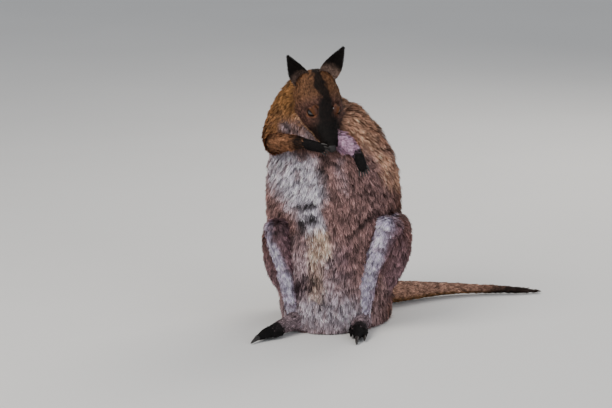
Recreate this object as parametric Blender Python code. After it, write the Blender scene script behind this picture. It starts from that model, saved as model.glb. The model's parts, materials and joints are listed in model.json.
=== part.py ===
"""A life-size red-necked wallaby, sitting up on its haunches with its head bent down to lick its left forearm.

The animal faces -Y and a little to -X. The middle of its seat is at the origin and the floor is z = 0. Each named
part of the body is a rounded tube run along a path of stations, drawn out to the tips of the coat. Where two parts
meet, the one that lies underneath is cut back to leave a hairline gap.
"""

import math

import bmesh
import bpy
import numpy as np

# ---- driving sizes, in metres ----
GAP = 0.0003  # hairline gap between parts that meet
BODY_TURN = math.radians(-18.0)  # the chest faces 18 degrees off -Y, toward -X
DOME_TURNS = (38.0, 70.0)  # where the rings of a domed end lie, in degrees round the dome
HIDDEN_DOME = (52.0,)  # the same for ends that meet another part

HEAD_LENGTH = 0.156  # crown to nose tip
CROWN = (-0.032, -0.058, 0.507)  # top of the skull, between the ears
NOSE_TIP = (-0.004, -0.134, 0.370)
HEAD_ROLL = math.radians(-4.0)  # the head is rolled back a little about its length
EYE_RADIUS = 0.0105
EAR_LENGTH = 0.072
CLAW_LENGTH = 0.012
HIND_CLAW_LENGTH = 0.024

# Trunk levels: height, centre x, half width, reach to the front, reach to the back
TRUNK_LEVELS = (
    (0.000, 0.006, 0.080, 0.128, 0.090),
    (0.012, 0.006, 0.103, 0.146, 0.116),
    (0.045, 0.004, 0.115, 0.153, 0.136),
    (0.100, 0.002, 0.124, 0.159, 0.150),
    (0.160, 0.001, 0.130, 0.160, 0.154),
    (0.220, -0.002, 0.138, 0.155, 0.147),
    (0.270, -0.004, 0.139, 0.142, 0.132),
    (0.310, -0.007, 0.133, 0.128, 0.114),
    (0.350, -0.021, 0.120, 0.112, 0.093),
    (0.380, -0.042, 0.104, 0.096, 0.076),
    (0.400, -0.050, 0.080, 0.074, 0.062),
    (0.412, -0.052, 0.050, 0.046, 0.040),
)

# Limb stations: centre x, y, z, half width, half height
NECK = (
    (-0.056, 0.000, 0.352, 0.060, 0.056),
    (-0.061, 0.001, 0.398, 0.079, 0.066),
    (-0.060, -0.004, 0.440, 0.061, 0.055),
    (-0.053, -0.014, 0.464, 0.046, 0.043),
    (-0.046, -0.026, 0.481, 0.034, 0.034),
)
# Head stations: distance from the crown, half width, height above the axis, depth below it
HEAD_LEVELS = (
    (0.006, 0.038, 0.032, 0.036),
    (0.026, 0.0465, 0.040, 0.046),
    (0.050, 0.0470, 0.041, 0.053),
    (0.074, 0.0420, 0.037, 0.052),
    (0.096, 0.0325, 0.030, 0.043),
    (0.118, 0.0245, 0.0235, 0.032),
    (0.136, 0.0195, 0.0185, 0.024),
    (0.150, 0.0135, 0.0130, 0.015),
)
UPPER_ARM_RIGHT = (
    (-0.088, 0.005, 0.400, 0.048, 0.048),
    (-0.112, -0.030, 0.385, 0.036, 0.036),
    (-0.122, -0.062, 0.372, 0.025, 0.026),
)
FOREARM_RIGHT = (
    (-0.122, -0.070, 0.371, 0.022, 0.023),
    (-0.097, -0.096, 0.376, 0.018, 0.019),
    (-0.070, -0.112, 0.379, 0.014, 0.014),
)
PAW_RIGHT = (
    (-0.066, -0.114, 0.379, 0.012, 0.011),
    (-0.050, -0.121, 0.376, 0.014, 0.010),
    (-0.030, -0.128, 0.372, 0.013, 0.009),
)
UPPER_ARM_LEFT = (
    (0.006, 0.000, 0.378, 0.046, 0.044),
    (0.006, -0.040, 0.378, 0.034, 0.034),
    (0.000, -0.074, 0.375, 0.025, 0.025),
)
FOREARM_LEFT = (
    (0.002, -0.084, 0.380, 0.022, 0.022),
    (0.024, -0.108, 0.374, 0.018, 0.018),
    (0.039, -0.126, 0.363, 0.014, 0.014),
)
PAW_LEFT = (
    (0.041, -0.129, 0.360, 0.012, 0.011),
    (0.046, -0.137, 0.349, 0.0135, 0.010),
    (0.051, -0.142, 0.336, 0.0125, 0.009),
)
THIGH_RIGHT = (
    (-0.050, 0.085, 0.105, 0.060, 0.085),
    (-0.080, 0.030, 0.125, 0.058, 0.088),
    (-0.098, -0.035, 0.155, 0.050, 0.076),
    (-0.109, -0.085, 0.192, 0.040, 0.048),
)
SHIN_RIGHT = (
    (-0.114, -0.106, 0.208, 0.028, 0.034),
    (-0.111, -0.114, 0.175, 0.025, 0.030),
    (-0.100, -0.112, 0.130, 0.022, 0.028),
    (-0.091, -0.108, 0.083, 0.021, 0.026),
    (-0.081, -0.098, 0.038, 0.021, 0.024),
)
FOOT_RIGHT = (
    (-0.040, -0.072, 0.021, 0.017, 0.020),
    (-0.078, -0.115, 0.023, 0.019, 0.022),
    (-0.105, -0.147, 0.019, 0.018, 0.018),
    (-0.121, -0.165, 0.016, 0.017, 0.016),
)
TOE_RIGHT = (
    (-0.123, -0.166, 0.015, 0.0125, 0.015),
    (-0.139, -0.183, 0.0125, 0.0115, 0.0125),
    (-0.149, -0.194, 0.0095, 0.0085, 0.0095),
)
SIDE_TOE_RIGHT = (
    (-0.131, -0.152, 0.012, 0.0070, 0.0115),
    (-0.144, -0.166, 0.010, 0.0065, 0.0095),
    (-0.150, -0.173, 0.008, 0.005, 0.0075),
)
THIGH_LEFT = (
    (0.060, 0.095, 0.105, 0.060, 0.082),
    (0.086, 0.038, 0.125, 0.060, 0.088),
    (0.104, -0.028, 0.155, 0.052, 0.078),
    (0.110, -0.080, 0.195, 0.042, 0.050),
)
SHIN_LEFT = (
    (0.104, -0.104, 0.212, 0.029, 0.034),
    (0.091, -0.110, 0.176, 0.026, 0.031),
    (0.072, -0.106, 0.130, 0.023, 0.028),
    (0.058, -0.101, 0.083, 0.021, 0.026),
    (0.052, -0.092, 0.038, 0.021, 0.024),
)
FOOT_LEFT = (
    (0.058, -0.030, 0.021, 0.017, 0.020),
    (0.053, -0.082, 0.023, 0.019, 0.022),
    (0.049, -0.130, 0.019, 0.018, 0.018),
    (0.046, -0.160, 0.016, 0.017, 0.016),
)
TOE_LEFT = (
    (0.044, -0.162, 0.015, 0.0125, 0.015),
    (0.042, -0.183, 0.0125, 0.0115, 0.0125),
    (0.041, -0.195, 0.0095, 0.0085, 0.0095),
)
SIDE_TOE_LEFT = (
    (0.0575, -0.154, 0.012, 0.0070, 0.0115),
    (0.0565, -0.173, 0.010, 0.0065, 0.0095),
    (0.0560, -0.182, 0.008, 0.005, 0.0075),
)
TAIL = (
    (0.006, 0.080, 0.050, 0.048, 0.052),
    (0.060, 0.098, 0.035, 0.036, 0.037),
    (0.120, 0.110, 0.0265, 0.0275, 0.0280),
    (0.170, 0.138, 0.0220, 0.0225, 0.0230),
    (0.215, 0.163, 0.0182, 0.0185, 0.0190),
    (0.262, 0.180, 0.0150, 0.0155, 0.0160),
    (0.312, 0.188, 0.0122, 0.0128, 0.0132),
    (0.362, 0.191, 0.0098, 0.0103, 0.0108),
    (0.405, 0.193, 0.0066, 0.0070, 0.0076),
    (0.426, 0.197, 0.0040, 0.0042, 0.0048),
)
GROOMING_TOE_RIGHT = (
    (-0.1035, -0.1615, 0.0115, 0.0055, 0.0090),
    (-0.1150, -0.1745, 0.0095, 0.0050, 0.0075),
    (-0.1205, -0.1805, 0.0075, 0.0040, 0.0060),
)
GROOMING_TOE_LEFT = (
    (0.0310, -0.1470, 0.0115, 0.0055, 0.0090),
    (0.0295, -0.1650, 0.0095, 0.0050, 0.0075),
    (0.0290, -0.1720, 0.0075, 0.0040, 0.0060),
)
WAIST = ((-0.30, 0.245), (0.30, 0.285))  # y and height where the chest meets the belly and rump
RUMP_FRONT = 0.035  # y where the belly meets the rump
# The lower jaw's cut, as distances along the head from the crown and up from its top line
MOUTH = ((0.170, -0.0150), (0.088, -0.0480), (0.078, -0.1200))
TAIL_CUTS = (0.150, 0.245, 0.335)  # the tail's lengths are parted at these x


# ---- helpers ----
def unit(vector):
    """A vector of length one along this one."""
    vector = np.asarray(vector, float)
    return vector / np.linalg.norm(vector)


def smooth_rows(rows, count):
    """Rows of sizes spread evenly along their path, each column following a smooth cubic through the rows."""
    rows = np.asarray(rows, float)
    steps = np.linalg.norm(np.diff(rows[:, :3], axis=0), axis=1)
    knots = np.concatenate([[0.0], np.cumsum(steps)])
    slopes = np.gradient(rows, knots, axis=0)
    at = np.linspace(0.0, knots[-1], count)
    cell = np.clip(np.searchsorted(knots, at, side="right") - 1, 0, len(knots) - 2)
    span = (knots[cell + 1] - knots[cell])[:, None]
    t = ((at - knots[cell])[:, None]) / span
    low = (2 * t**3 - 3 * t**2 + 1) * rows[cell] + (t**3 - 2 * t**2 + t) * span * slopes[cell]
    high = (3 * t**2 - 2 * t**3) * rows[cell + 1] + (t**3 - t**2) * span * slopes[cell + 1]
    return low + high


def new_object(name, points, faces):
    """An object from points and faces, with its normals facing out."""
    mesh = bpy.data.meshes.new(name)
    mesh.from_pydata([tuple(p) for p in points], [], [tuple(f) for f in faces])
    built = bmesh.new()
    built.from_mesh(mesh)
    bmesh.ops.recalc_face_normals(built, faces=built.faces)
    built.to_mesh(mesh)
    built.free()
    made = bpy.data.objects.new(name, mesh)
    bpy.context.scene.collection.objects.link(made)
    return made


def ring_faces(rings, sides):
    """Triangles between rings of points, with one end point before the first ring and one after the last."""
    faces = []
    first, last = 0, 1 + rings * sides
    for side in range(sides):
        after = (side + 1) % sides
        faces.append((first, 1 + after, 1 + side))
        top = 1 + (rings - 1) * sides
        faces.append((top + side, top + after, last))
        for ring in range(rings - 1):
            low = 1 + ring * sides
            high = low + sides
            faces.append((low + side, low + after, high + after))
            faces.append((low + side, high + after, high + side))
    return faces


def tube(name, rows, across, sides=16, count=8, grow=0.0, ends=(0.7, 0.7), floor=None, domes=DOME_TURNS):
    """A rounded tube through rows of x, y, z, half width, half height and, if given, half depth below.

    The half width lies along the direction across, as nearly as the path allows. Each end closes in a dome as deep as
    its entry in ends times the half width there. A tube that rests on the floor is flattened where it would pass it.
    """
    rows = np.asarray(rows, float)
    if rows.shape[1] == 5:
        rows = np.column_stack([rows, rows[:, 4]])
    rows = smooth_rows(rows, count)
    rows[:, 3:] += grow
    along = np.gradient(rows[:, :3], axis=0)
    along /= np.linalg.norm(along, axis=1, keepdims=True)
    centres, sizes, ways = [], [], []
    start_depth = ends[0] * (rows[0, 3] - grow) + grow
    end_depth = ends[1] * (rows[-1, 3] - grow) + grow
    for turn in domes[::-1]:
        angle = math.radians(turn)
        centres.append(rows[0, :3] - along[0] * start_depth * math.sin(angle))
        sizes.append(rows[0, 3:] * math.cos(angle))
        ways.append(along[0])
    for row, way in zip(rows, along):
        centres.append(row[:3])
        sizes.append(row[3:])
        ways.append(way)
    for turn in domes:
        angle = math.radians(turn)
        centres.append(rows[-1, :3] + along[-1] * end_depth * math.sin(angle))
        sizes.append(rows[-1, 3:] * math.cos(angle))
        ways.append(along[-1])
    points = [rows[0, :3] - along[0] * start_depth]
    for centre, size, way in zip(centres, sizes, ways):
        side_way = unit(np.asarray(across, float) - np.dot(across, way) * way)
        up_way = np.cross(way, side_way)
        for side in range(sides):
            angle = 2 * math.pi * side / sides
            height = size[1] if math.sin(angle) >= 0 else size[2]
            points.append(centre + side_way * size[0] * math.cos(angle) + up_way * height * math.sin(angle))
    points.append(rows[-1, :3] + along[-1] * end_depth)
    if floor is not None:
        for point in points:
            point[2] = max(point[2], floor if grow == 0.0 else floor - 0.01)
    return new_object(name, points, ring_faces(len(centres), sides))


def trunk_solid(name, sides=25, count=11, grow=0.0):
    """The trunk from its levels, each level an oval with its own reach to the front and to the back."""
    rows = np.array([(0.0, 0.0, z, x, half, front, back) for z, x, half, front, back in TRUNK_LEVELS])
    rows = smooth_rows(rows, count)
    rows[:, 4:] += grow
    points = [(rows[0, 3], 0.0, -grow)]
    for row in rows:
        height = row[2] - grow if row[2] == 0.0 else row[2]
        for side in range(sides):
            angle = 2 * math.pi * side / sides
            reach = row[6] if math.sin(angle) >= 0 else row[5]
            wide, deep = row[4] * math.cos(angle), reach * math.sin(angle)
            turned_x = wide * math.cos(BODY_TURN) - deep * math.sin(BODY_TURN)
            turned_y = wide * math.sin(BODY_TURN) + deep * math.cos(BODY_TURN)
            points.append((row[3] + turned_x, turned_y, height))
    points.append((rows[-1, 3], 0.0, rows[-1, 2] + 0.014 + grow))
    return new_object(name, points, ring_faces(len(rows), sides))


def cut(body, cutters):
    """Cuts these bodies from a body one after another, and keeps its largest piece."""
    for cutter in cutters:
        step = body.modifiers.new("cut", "BOOLEAN")
        step.operation = "DIFFERENCE"
        step.solver = "EXACT"
        step.object = cutter
        shaped = bpy.data.meshes.new_from_object(body.evaluated_get(bpy.context.evaluated_depsgraph_get()))
        body.modifiers.clear()
        body.data = shaped
        keep_largest(body)


def islands(mesh):
    """The connected pieces of a mesh, each as a set of vertex numbers."""
    parent = list(range(len(mesh.vertices)))

    def root(place):
        while parent[place] != place:
            parent[place] = parent[parent[place]]
            place = parent[place]
        return place

    for edge in mesh.edges:
        parent[root(edge.vertices[0])] = root(edge.vertices[1])
    groups = {}
    for place in range(len(parent)):
        groups.setdefault(root(place), set()).add(place)
    return list(groups.values())


def tidy(built):
    """Merges points that all but touch, drops flat slivers and leaves triangles."""
    bmesh.ops.remove_doubles(built, verts=built.verts, dist=0.00003)
    bmesh.ops.dissolve_degenerate(built, edges=built.edges, dist=0.00003)
    bmesh.ops.dissolve_limit(built, angle_limit=math.radians(0.3), verts=built.verts, edges=built.edges)
    bmesh.ops.triangulate(built, faces=built.faces)


def keep_largest(body):
    """Removes all but the largest connected piece of a body."""
    pieces = sorted(islands(body.data), key=len, reverse=True)
    built = bmesh.new()
    built.from_mesh(body.data)
    spare = [vertex for vertex in built.verts if vertex.index not in pieces[0]]
    bmesh.ops.delete(built, geom=spare, context="VERTS")
    tidy(built)
    built.to_mesh(body.data)
    built.free()


def discard(bodies):
    """Removes these helper bodies from the scene."""
    for body in bodies:
        bpy.data.objects.remove(body)


def material(name, colour, roughness):
    """A plain material with this base colour."""
    made = bpy.data.materials.new(name)
    made.use_nodes = True
    shader = made.node_tree.nodes["Principled BSDF"]
    shader.inputs["Base Color"].default_value = (*colour, 1.0)
    shader.inputs["Roughness"].default_value = roughness
    return made


def dress(body, finish):
    """Gives a body its one material and smooth shading."""
    body.data.materials.clear()
    body.data.materials.append(finish)
    for face in body.data.polygons:
        face.use_smooth = True


for old in list(bpy.data.objects):
    bpy.data.objects.remove(old)

# ---- directions of the head ----
HEAD_WAY = unit(np.subtract(NOSE_TIP, CROWN))
level_side = unit(np.cross(HEAD_WAY, (0.0, 0.0, 1.0)))
forehead_flat = unit(np.cross(level_side, HEAD_WAY))
HEAD_UP = forehead_flat * math.cos(HEAD_ROLL) - level_side * math.sin(HEAD_ROLL)
HEAD_SIDE = np.cross(HEAD_WAY, HEAD_UP)


def head_rows():
    """Head stations: the upper line runs straight from crown to nose, and each centre lies below it."""
    rows = []
    for along, half, above, below in HEAD_LEVELS:
        middle = np.asarray(CROWN) + HEAD_WAY * along - HEAD_UP * above
        rows.append((*middle, half, below, above))
    return rows


def head_point(along, side, up):
    """A place on the head, from the crown: along toward the nose, to the animal's left and up from the upper line."""
    return np.asarray(CROWN) + HEAD_WAY * along + HEAD_SIDE * side + HEAD_UP * up




# ---- shapes that are not tubes ----
# Ears: base, tip, way the cup opens
EAR_RIGHT = ((-0.061, -0.030, 0.484), (-0.0945, -0.060, 0.5415), (-0.30, -0.90, 0.20))
EAR_LEFT = ((-0.0195, -0.034, 0.498), (0.0145, -0.062, 0.5590), (0.25, -0.95, 0.15))
EAR_LEVELS = (  # share of the length, half width, depth of the cup
    (0.00, 0.0180, 0.0130),
    (0.20, 0.0210, 0.0125),
    (0.40, 0.0195, 0.0105),
    (0.60, 0.0150, 0.0075),
    (0.80, 0.0090, 0.0040),
    (1.00, 0.0024, 0.0008),
)
EAR_THICKNESS = 0.0042


def ear_solid(name, spot, grow=0.0, sides=6, count=6):
    """A leaf-shaped cup: a curved strip that narrows to a point, with an outer and an inner side."""
    base, tip, opening = (np.asarray(part, float) for part in spot)
    way = unit(tip - base)
    front = unit(opening - np.dot(opening, way) * way)
    side_way = np.cross(way, front)
    levels = np.asarray(EAR_LEVELS)
    rows = np.zeros((len(levels), 5))
    rows[:, 0] = levels[:, 0] * np.linalg.norm(tip - base)
    rows[:, 3:] = levels[:, 1:]
    rows = smooth_rows(rows, count)
    points = [base - way * (0.003 + grow)]
    for row in rows:
        half, cup = row[3] + grow, row[4]
        thick = min(EAR_THICKNESS, 2.0 * row[3]) / 2 + grow
        for side in range(2 * sides):
            outer = side < sides
            share = (side if outer else 2 * sides - 1 - side) / (sides - 1) * 2 - 1
            bulge = cup * (0.5 - share**2) * -1.0
            edge = math.sqrt(max(0.0, 1.0 - abs(share) ** 6)) * 0.85 + 0.15
            lift = (-thick if outer else thick) * edge
            points.append(base + way * row[0] + side_way * half * share + front * (bulge + lift))
    points.append(tip + way * (0.002 + grow))
    return new_object(name, points, ring_faces(len(rows), 2 * sides))


def ball(name, centre, radii, axes, grow=0.0, sides=8, rings=4):
    """An egg shape with these half sizes along these axes."""
    points = [np.asarray(centre) - axes[2] * (radii[2] + grow)]
    for ring in range(1, rings + 1):
        tilt = math.pi * ring / (rings + 1)
        for side in range(sides):
            turn = 2 * math.pi * side / sides
            spot = axes[0] * (radii[0] + grow) * math.sin(tilt) * math.cos(turn)
            spot = spot + axes[1] * (radii[1] + grow) * math.sin(tilt) * math.sin(turn)
            points.append(np.asarray(centre) + spot - axes[2] * (radii[2] + grow) * math.cos(tilt))
    points.append(np.asarray(centre) + axes[2] * (radii[2] + grow))
    return new_object(name, points, ring_faces(rings, sides))


def plate(name, outline, across, half_width):
    """A prism with this outline of points, as thick as twice the half width along across."""
    across = unit(across) * half_width
    count = len(outline)
    points = [np.asarray(p) - across for p in outline] + [np.asarray(p) + across for p in outline]
    faces = [tuple(range(count)), tuple(range(2 * count - 1, count - 1, -1))]
    for corner in range(count):
        after = (corner + 1) % count
        faces.append((corner, after, count + after, count + corner))
    return new_object(name, points, faces)


def claw_rows(root, way, length, half):
    """Stations of a claw: it starts at root, runs along way and droops to a point."""
    root, way = np.asarray(root, float), unit(way)
    rows = []
    for share, width, droop in ((0.0, 1.0, 0.0), (0.4, 0.85, 0.03), (0.75, 0.55, 0.11), (1.0, 0.22, 0.22)):
        middle = root + way * length * share - np.array((0.0, 0.0, 1.0)) * length * droop
        rows.append((*middle, half * width, half * width * 1.15))
    return rows


# ---- the body parts ----
WIDE = (math.cos(BODY_TURN), math.sin(BODY_TURN), 0.0)
EYE_AXES = (HEAD_WAY, HEAD_UP, HEAD_SIDE)
PAW_ACROSS_RIGHT = (0.25, -0.35, 0.90)
PAW_ACROSS_LEFT = (0.90, -0.30, 0.25)

FORWARD_RIGHT = (1.0, -0.5, 0.0)  # across the right foot
FORWARD_LEFT = (1.0, 0.0, 0.0)  # across the left foot
UP = (0.0, 0.0, 1.0)

# Tubes: stations, direction of the half width, sides, rings, depths of the end domes, floor, rings in each dome
TUBES = {
    "head": (head_rows(), HEAD_SIDE, 14, 9, (0.6, 0.5), None, DOME_TURNS),
    "paw_right": (PAW_RIGHT, PAW_ACROSS_RIGHT, 10, 3, (0.3, 0.9), None, DOME_TURNS),
    "paw_left": (PAW_LEFT, PAW_ACROSS_LEFT, 10, 3, (0.3, 0.9), None, DOME_TURNS),
    "forearm_right": (FOREARM_RIGHT, UP, 9, 4, (0.5, 0.5), None, HIDDEN_DOME),
    "forearm_left": (FOREARM_LEFT, (0.5, 0.0, 1.0), 9, 4, (0.5, 0.5), None, HIDDEN_DOME),
    "upper_arm_right": (UPPER_ARM_RIGHT, UP, 10, 4, (0.6, 0.5), None, HIDDEN_DOME),
    "upper_arm_left": (UPPER_ARM_LEFT, UP, 10, 4, (0.6, 0.5), None, HIDDEN_DOME),
    "neck": (NECK, WIDE, 14, 5, (0.5, 0.5), None, DOME_TURNS),
    "toe_right": (TOE_RIGHT, FORWARD_RIGHT, 10, 3, (0.3, 0.8), 0.0, DOME_TURNS),
    "toe_left": (TOE_LEFT, FORWARD_LEFT, 10, 3, (0.3, 0.8), 0.0, DOME_TURNS),
    "side_toe_right": (SIDE_TOE_RIGHT, FORWARD_RIGHT, 8, 3, (0.6, 0.8), 0.0, DOME_TURNS),
    "side_toe_left": (SIDE_TOE_LEFT, FORWARD_LEFT, 8, 3, (0.6, 0.8), 0.0, DOME_TURNS),
    "grooming_toe_right": (GROOMING_TOE_RIGHT, FORWARD_RIGHT, 8, 3, (0.6, 0.8), 0.0, DOME_TURNS),
    "grooming_toe_left": (GROOMING_TOE_LEFT, FORWARD_LEFT, 8, 3, (0.6, 0.8), 0.0, DOME_TURNS),
    "foot_right": (FOOT_RIGHT, FORWARD_RIGHT, 9, 5, (0.9, 0.5), 0.0, HIDDEN_DOME),
    "foot_left": (FOOT_LEFT, FORWARD_LEFT, 9, 5, (0.9, 0.5), 0.0, HIDDEN_DOME),
    "shin_right": (SHIN_RIGHT, WIDE, 9, 6, (0.8, 0.5), 0.0, HIDDEN_DOME),
    "shin_left": (SHIN_LEFT, WIDE, 9, 6, (0.8, 0.5), 0.0, HIDDEN_DOME),
    "thigh_right": (THIGH_RIGHT, WIDE, 14, 6, (0.6, 0.7), 0.0, DOME_TURNS),
    "thigh_left": (THIGH_LEFT, WIDE, 14, 6, (0.6, 0.7), 0.0, DOME_TURNS),
    "tail": (TAIL, UP, 10, 17, (0.5, 2.2), 0.0, DOME_TURNS),
}
# Balls: centre, half sizes, axes
EYE_SIZES = (EYE_RADIUS, EYE_RADIUS, EYE_RADIUS)
BALLS = {
    "nose": (head_point(0.1525, 0.0, -0.0125), (0.0070, 0.0085, 0.0080), (HEAD_UP, HEAD_SIDE, HEAD_WAY)),
    "eye_right": (head_point(0.062, -0.0275, -0.0150), EYE_SIZES, EYE_AXES),
    "eye_left": (head_point(0.062, 0.0275, -0.0150), EYE_SIZES, EYE_AXES),
}
EARS = {"ear_right": EAR_RIGHT, "ear_left": EAR_LEFT}
PARTS = (*BALLS, *EARS, *TUBES, "trunk")


def make(name, grow=0.0):
    """The body part with this name, grown outward by grow."""
    if name in BALLS:
        return ball(name, *BALLS[name], grow)
    if name in EARS:
        return ear_solid(name, EARS[name], grow)
    if name == "trunk":
        return trunk_solid(name, grow=grow)
    stations, across, sides, count, ends, floor, domes = TUBES[name]
    return tube(name, stations, across, sides, count, grow, ends, floor, domes)


# Each part, and the parts over it that cut it back
covers = {
    "head": ("nose", "eye_right", "eye_left"),
    "ear_right": ("head", "neck"),
    "ear_left": ("head", "neck"),
    "forearm_right": ("paw_right", "head"),
    "forearm_left": ("paw_left", "head"),
    "upper_arm_right": ("forearm_right", "paw_right", "head"),
    "upper_arm_left": ("forearm_left", "paw_left", "head", "forearm_right", "paw_right"),
    "neck": ("head", "upper_arm_right", "upper_arm_left", "forearm_right", "forearm_left"),
    "side_toe_right": ("toe_right",),
    "side_toe_left": ("toe_left",),
    "grooming_toe_right": ("toe_right",),
    "grooming_toe_left": ("toe_left",),
    "foot_right": ("toe_right", "side_toe_right", "grooming_toe_right"),
    "foot_left": ("toe_left", "side_toe_left", "grooming_toe_left"),
    "shin_right": ("foot_right",),
    "shin_left": ("foot_left",),
    "thigh_right": ("shin_right", "foot_right"),
    "thigh_left": ("shin_left", "foot_left"),
    "trunk": (
        "neck", "head", "upper_arm_right", "upper_arm_left", "forearm_right", "forearm_left", "paw_right",
        "paw_left", "thigh_right", "thigh_left", "shin_right", "shin_left", "foot_right", "foot_left",
    ),
    "tail": ("trunk", "thigh_right", "thigh_left"),
}

cutters = {}


def cutter_for(name):
    """The part with this name, grown by the gap, as a cutter."""
    if name not in cutters:
        made = make(name, GAP)
        made.name = "cutter_" + name
        made.hide_render = True
        made.display_type = "WIRE"
        cutters[name] = made
    return cutters[name]


def claw_places(rows, across, spread, count):
    """Roots and ways of a fan of claws at the end of a paw."""
    end, before = np.asarray(rows[-1]), np.asarray(rows[-2])
    way = unit(end[:3] - before[:3])
    side_way = unit(np.asarray(across, float) - np.dot(across, way) * way)
    places = []
    for number in range(count):
        share = 2.0 * number / (count - 1) - 1.0
        root = end[:3] + side_way * share * spread + way * end[3] * (0.75 - 0.35 * share**2)
        places.append((root, unit(way + side_way * share * 0.35)))
    return places


def split(body, slab, names, way):
    """Cuts a body through with a thin slab, and names the pieces in order along way."""
    step = body.modifiers.new("cut", "BOOLEAN")
    step.operation = "DIFFERENCE"
    step.solver = "EXACT"
    step.object = slab
    shaped = bpy.data.meshes.new_from_object(body.evaluated_get(bpy.context.evaluated_depsgraph_get()))
    discard([slab, body])
    pieces = []
    for piece in islands(shaped):
        centre = np.mean([shaped.vertices[v].co for v in piece], axis=0)
        pieces.append((float(np.dot(centre, way)), piece))
    pieces.sort(key=lambda item: len(item[1]), reverse=True)
    pieces = sorted(pieces[: len(names)], key=lambda item: item[0])
    made = []
    for (_, piece), name in zip(pieces, names):
        built = bmesh.new()
        built.from_mesh(shaped)
        spare = [vertex for vertex in built.verts if vertex.index not in piece]
        bmesh.ops.delete(built, geom=spare, context="VERTS")
        tidy(built)
        mesh = bpy.data.meshes.new(name)
        built.to_mesh(mesh)
        built.free()
        new = bpy.data.objects.new(name, mesh)
        bpy.context.scene.collection.objects.link(new)
        made.append(new)
    return made


bodies = {}
for part_name in PARTS:
    bodies[part_name] = make(part_name)
for part_name, names in covers.items():
    cut(bodies[part_name], [cutter_for(name) for name in names])

# ---- claws: a fan on each forepaw, and one on each big toe and side toe ----
claw_spots = {}
for side, rows, across in (("right", PAW_RIGHT, PAW_ACROSS_RIGHT), ("left", PAW_LEFT, PAW_ACROSS_LEFT)):
    for number, (root, way) in enumerate(claw_places(rows, across, 0.0095, 5)):
        claw_spots[f"claw_{side}_{number + 1}"] = (f"paw_{side}", root - way * 0.004, way, CLAW_LENGTH, 0.0021)
for side, rows, side_rows in (("right", TOE_RIGHT, SIDE_TOE_RIGHT), ("left", TOE_LEFT, SIDE_TOE_LEFT)):
    for kind, line, length, half in (("toe", rows, HIND_CLAW_LENGTH, 0.0042), ("side_toe", side_rows, 0.016, 0.0030)):
        end, before = np.asarray(line[-1]), np.asarray(line[-2])
        way = unit((end[:3] - before[:3]) * (1.0, 1.0, 0.35))
        root = end[:3] + way * end[3] * 0.1
        claw_spots[f"claw_{kind}_{side}"] = (f"{kind}_{side}", root, way, length, half)
for claw_name, (holder, root, way, length, half) in claw_spots.items():
    line = claw_rows(root, way, length, half)
    across = unit(np.cross(way, (0.0, 0.0, 1.0)) + np.array((0.001, 0.0, 0.0)))
    bodies[claw_name] = tube(claw_name, line, across, 6, 3, 0.0, (0.5, 1.0), 0.0, (45.0,))
    cut(bodies[claw_name], [cutter_for(holder)])
discard(cutters.values())

# ---- the trunk parts at the waist into chest, belly and rump ----
(low_y, low_z), (high_y, high_z) = WAIST
waist = [(0, low_y, low_z), (0, high_y, high_z), (0, high_y, high_z + GAP), (0, low_y, low_z + GAP)]
lower, chest = split(bodies.pop("trunk"), plate("slab", waist, (1, 0, 0), 0.3), ("lower_trunk", "chest"), (0, 0, 1))
bodies["chest"] = chest
upright = [(0, RUMP_FRONT, -0.1), (0, RUMP_FRONT + GAP, -0.1), (0, RUMP_FRONT + GAP, 0.4), (0, RUMP_FRONT, 0.4)]
belly, rump = split(lower, plate("slab", upright, (1, 0, 0), 0.3), ("belly", "rump"), (0, 1, 0))
bodies["belly"], bodies["rump"] = belly, rump

# ---- the lower jaw parts from the head along the mouth ----
upper_edge = [head_point(along, 0.0, up) for along, up in MOUTH]
shift = HEAD_UP * GAP + HEAD_WAY * GAP * -0.7
lower_edge = [point - shift for point in upper_edge]
mouth = plate("slab", upper_edge + lower_edge[::-1], HEAD_SIDE, 0.08)
jaw, skull = split(bodies.pop("head"), mouth, ("jaw", "head"), HEAD_UP)
bodies["jaw"], bodies["head"] = jaw, skull

# ---- the tail parts into lengths ----
rest_of_tail = bodies.pop("tail")
for number, place in enumerate(TAIL_CUTS):
    across = [(place, -0.5, -0.1), (place + GAP, -0.5, -0.1), (place + GAP, -0.5, 0.2), (place, -0.5, 0.2)]
    names = (f"tail_{number + 1}", "tail_tip" if number == len(TAIL_CUTS) - 1 else "tail_rest")
    middle = [np.asarray(corner) + np.array((0.0, 0.65, 0.0)) for corner in across]
    piece, rest_of_tail = split(rest_of_tail, plate("slab", middle, (0, 1, 0), 0.12), names, (1, 0, 0))
    bodies[names[0]] = piece
bodies["tail_tip"] = rest_of_tail

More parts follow.
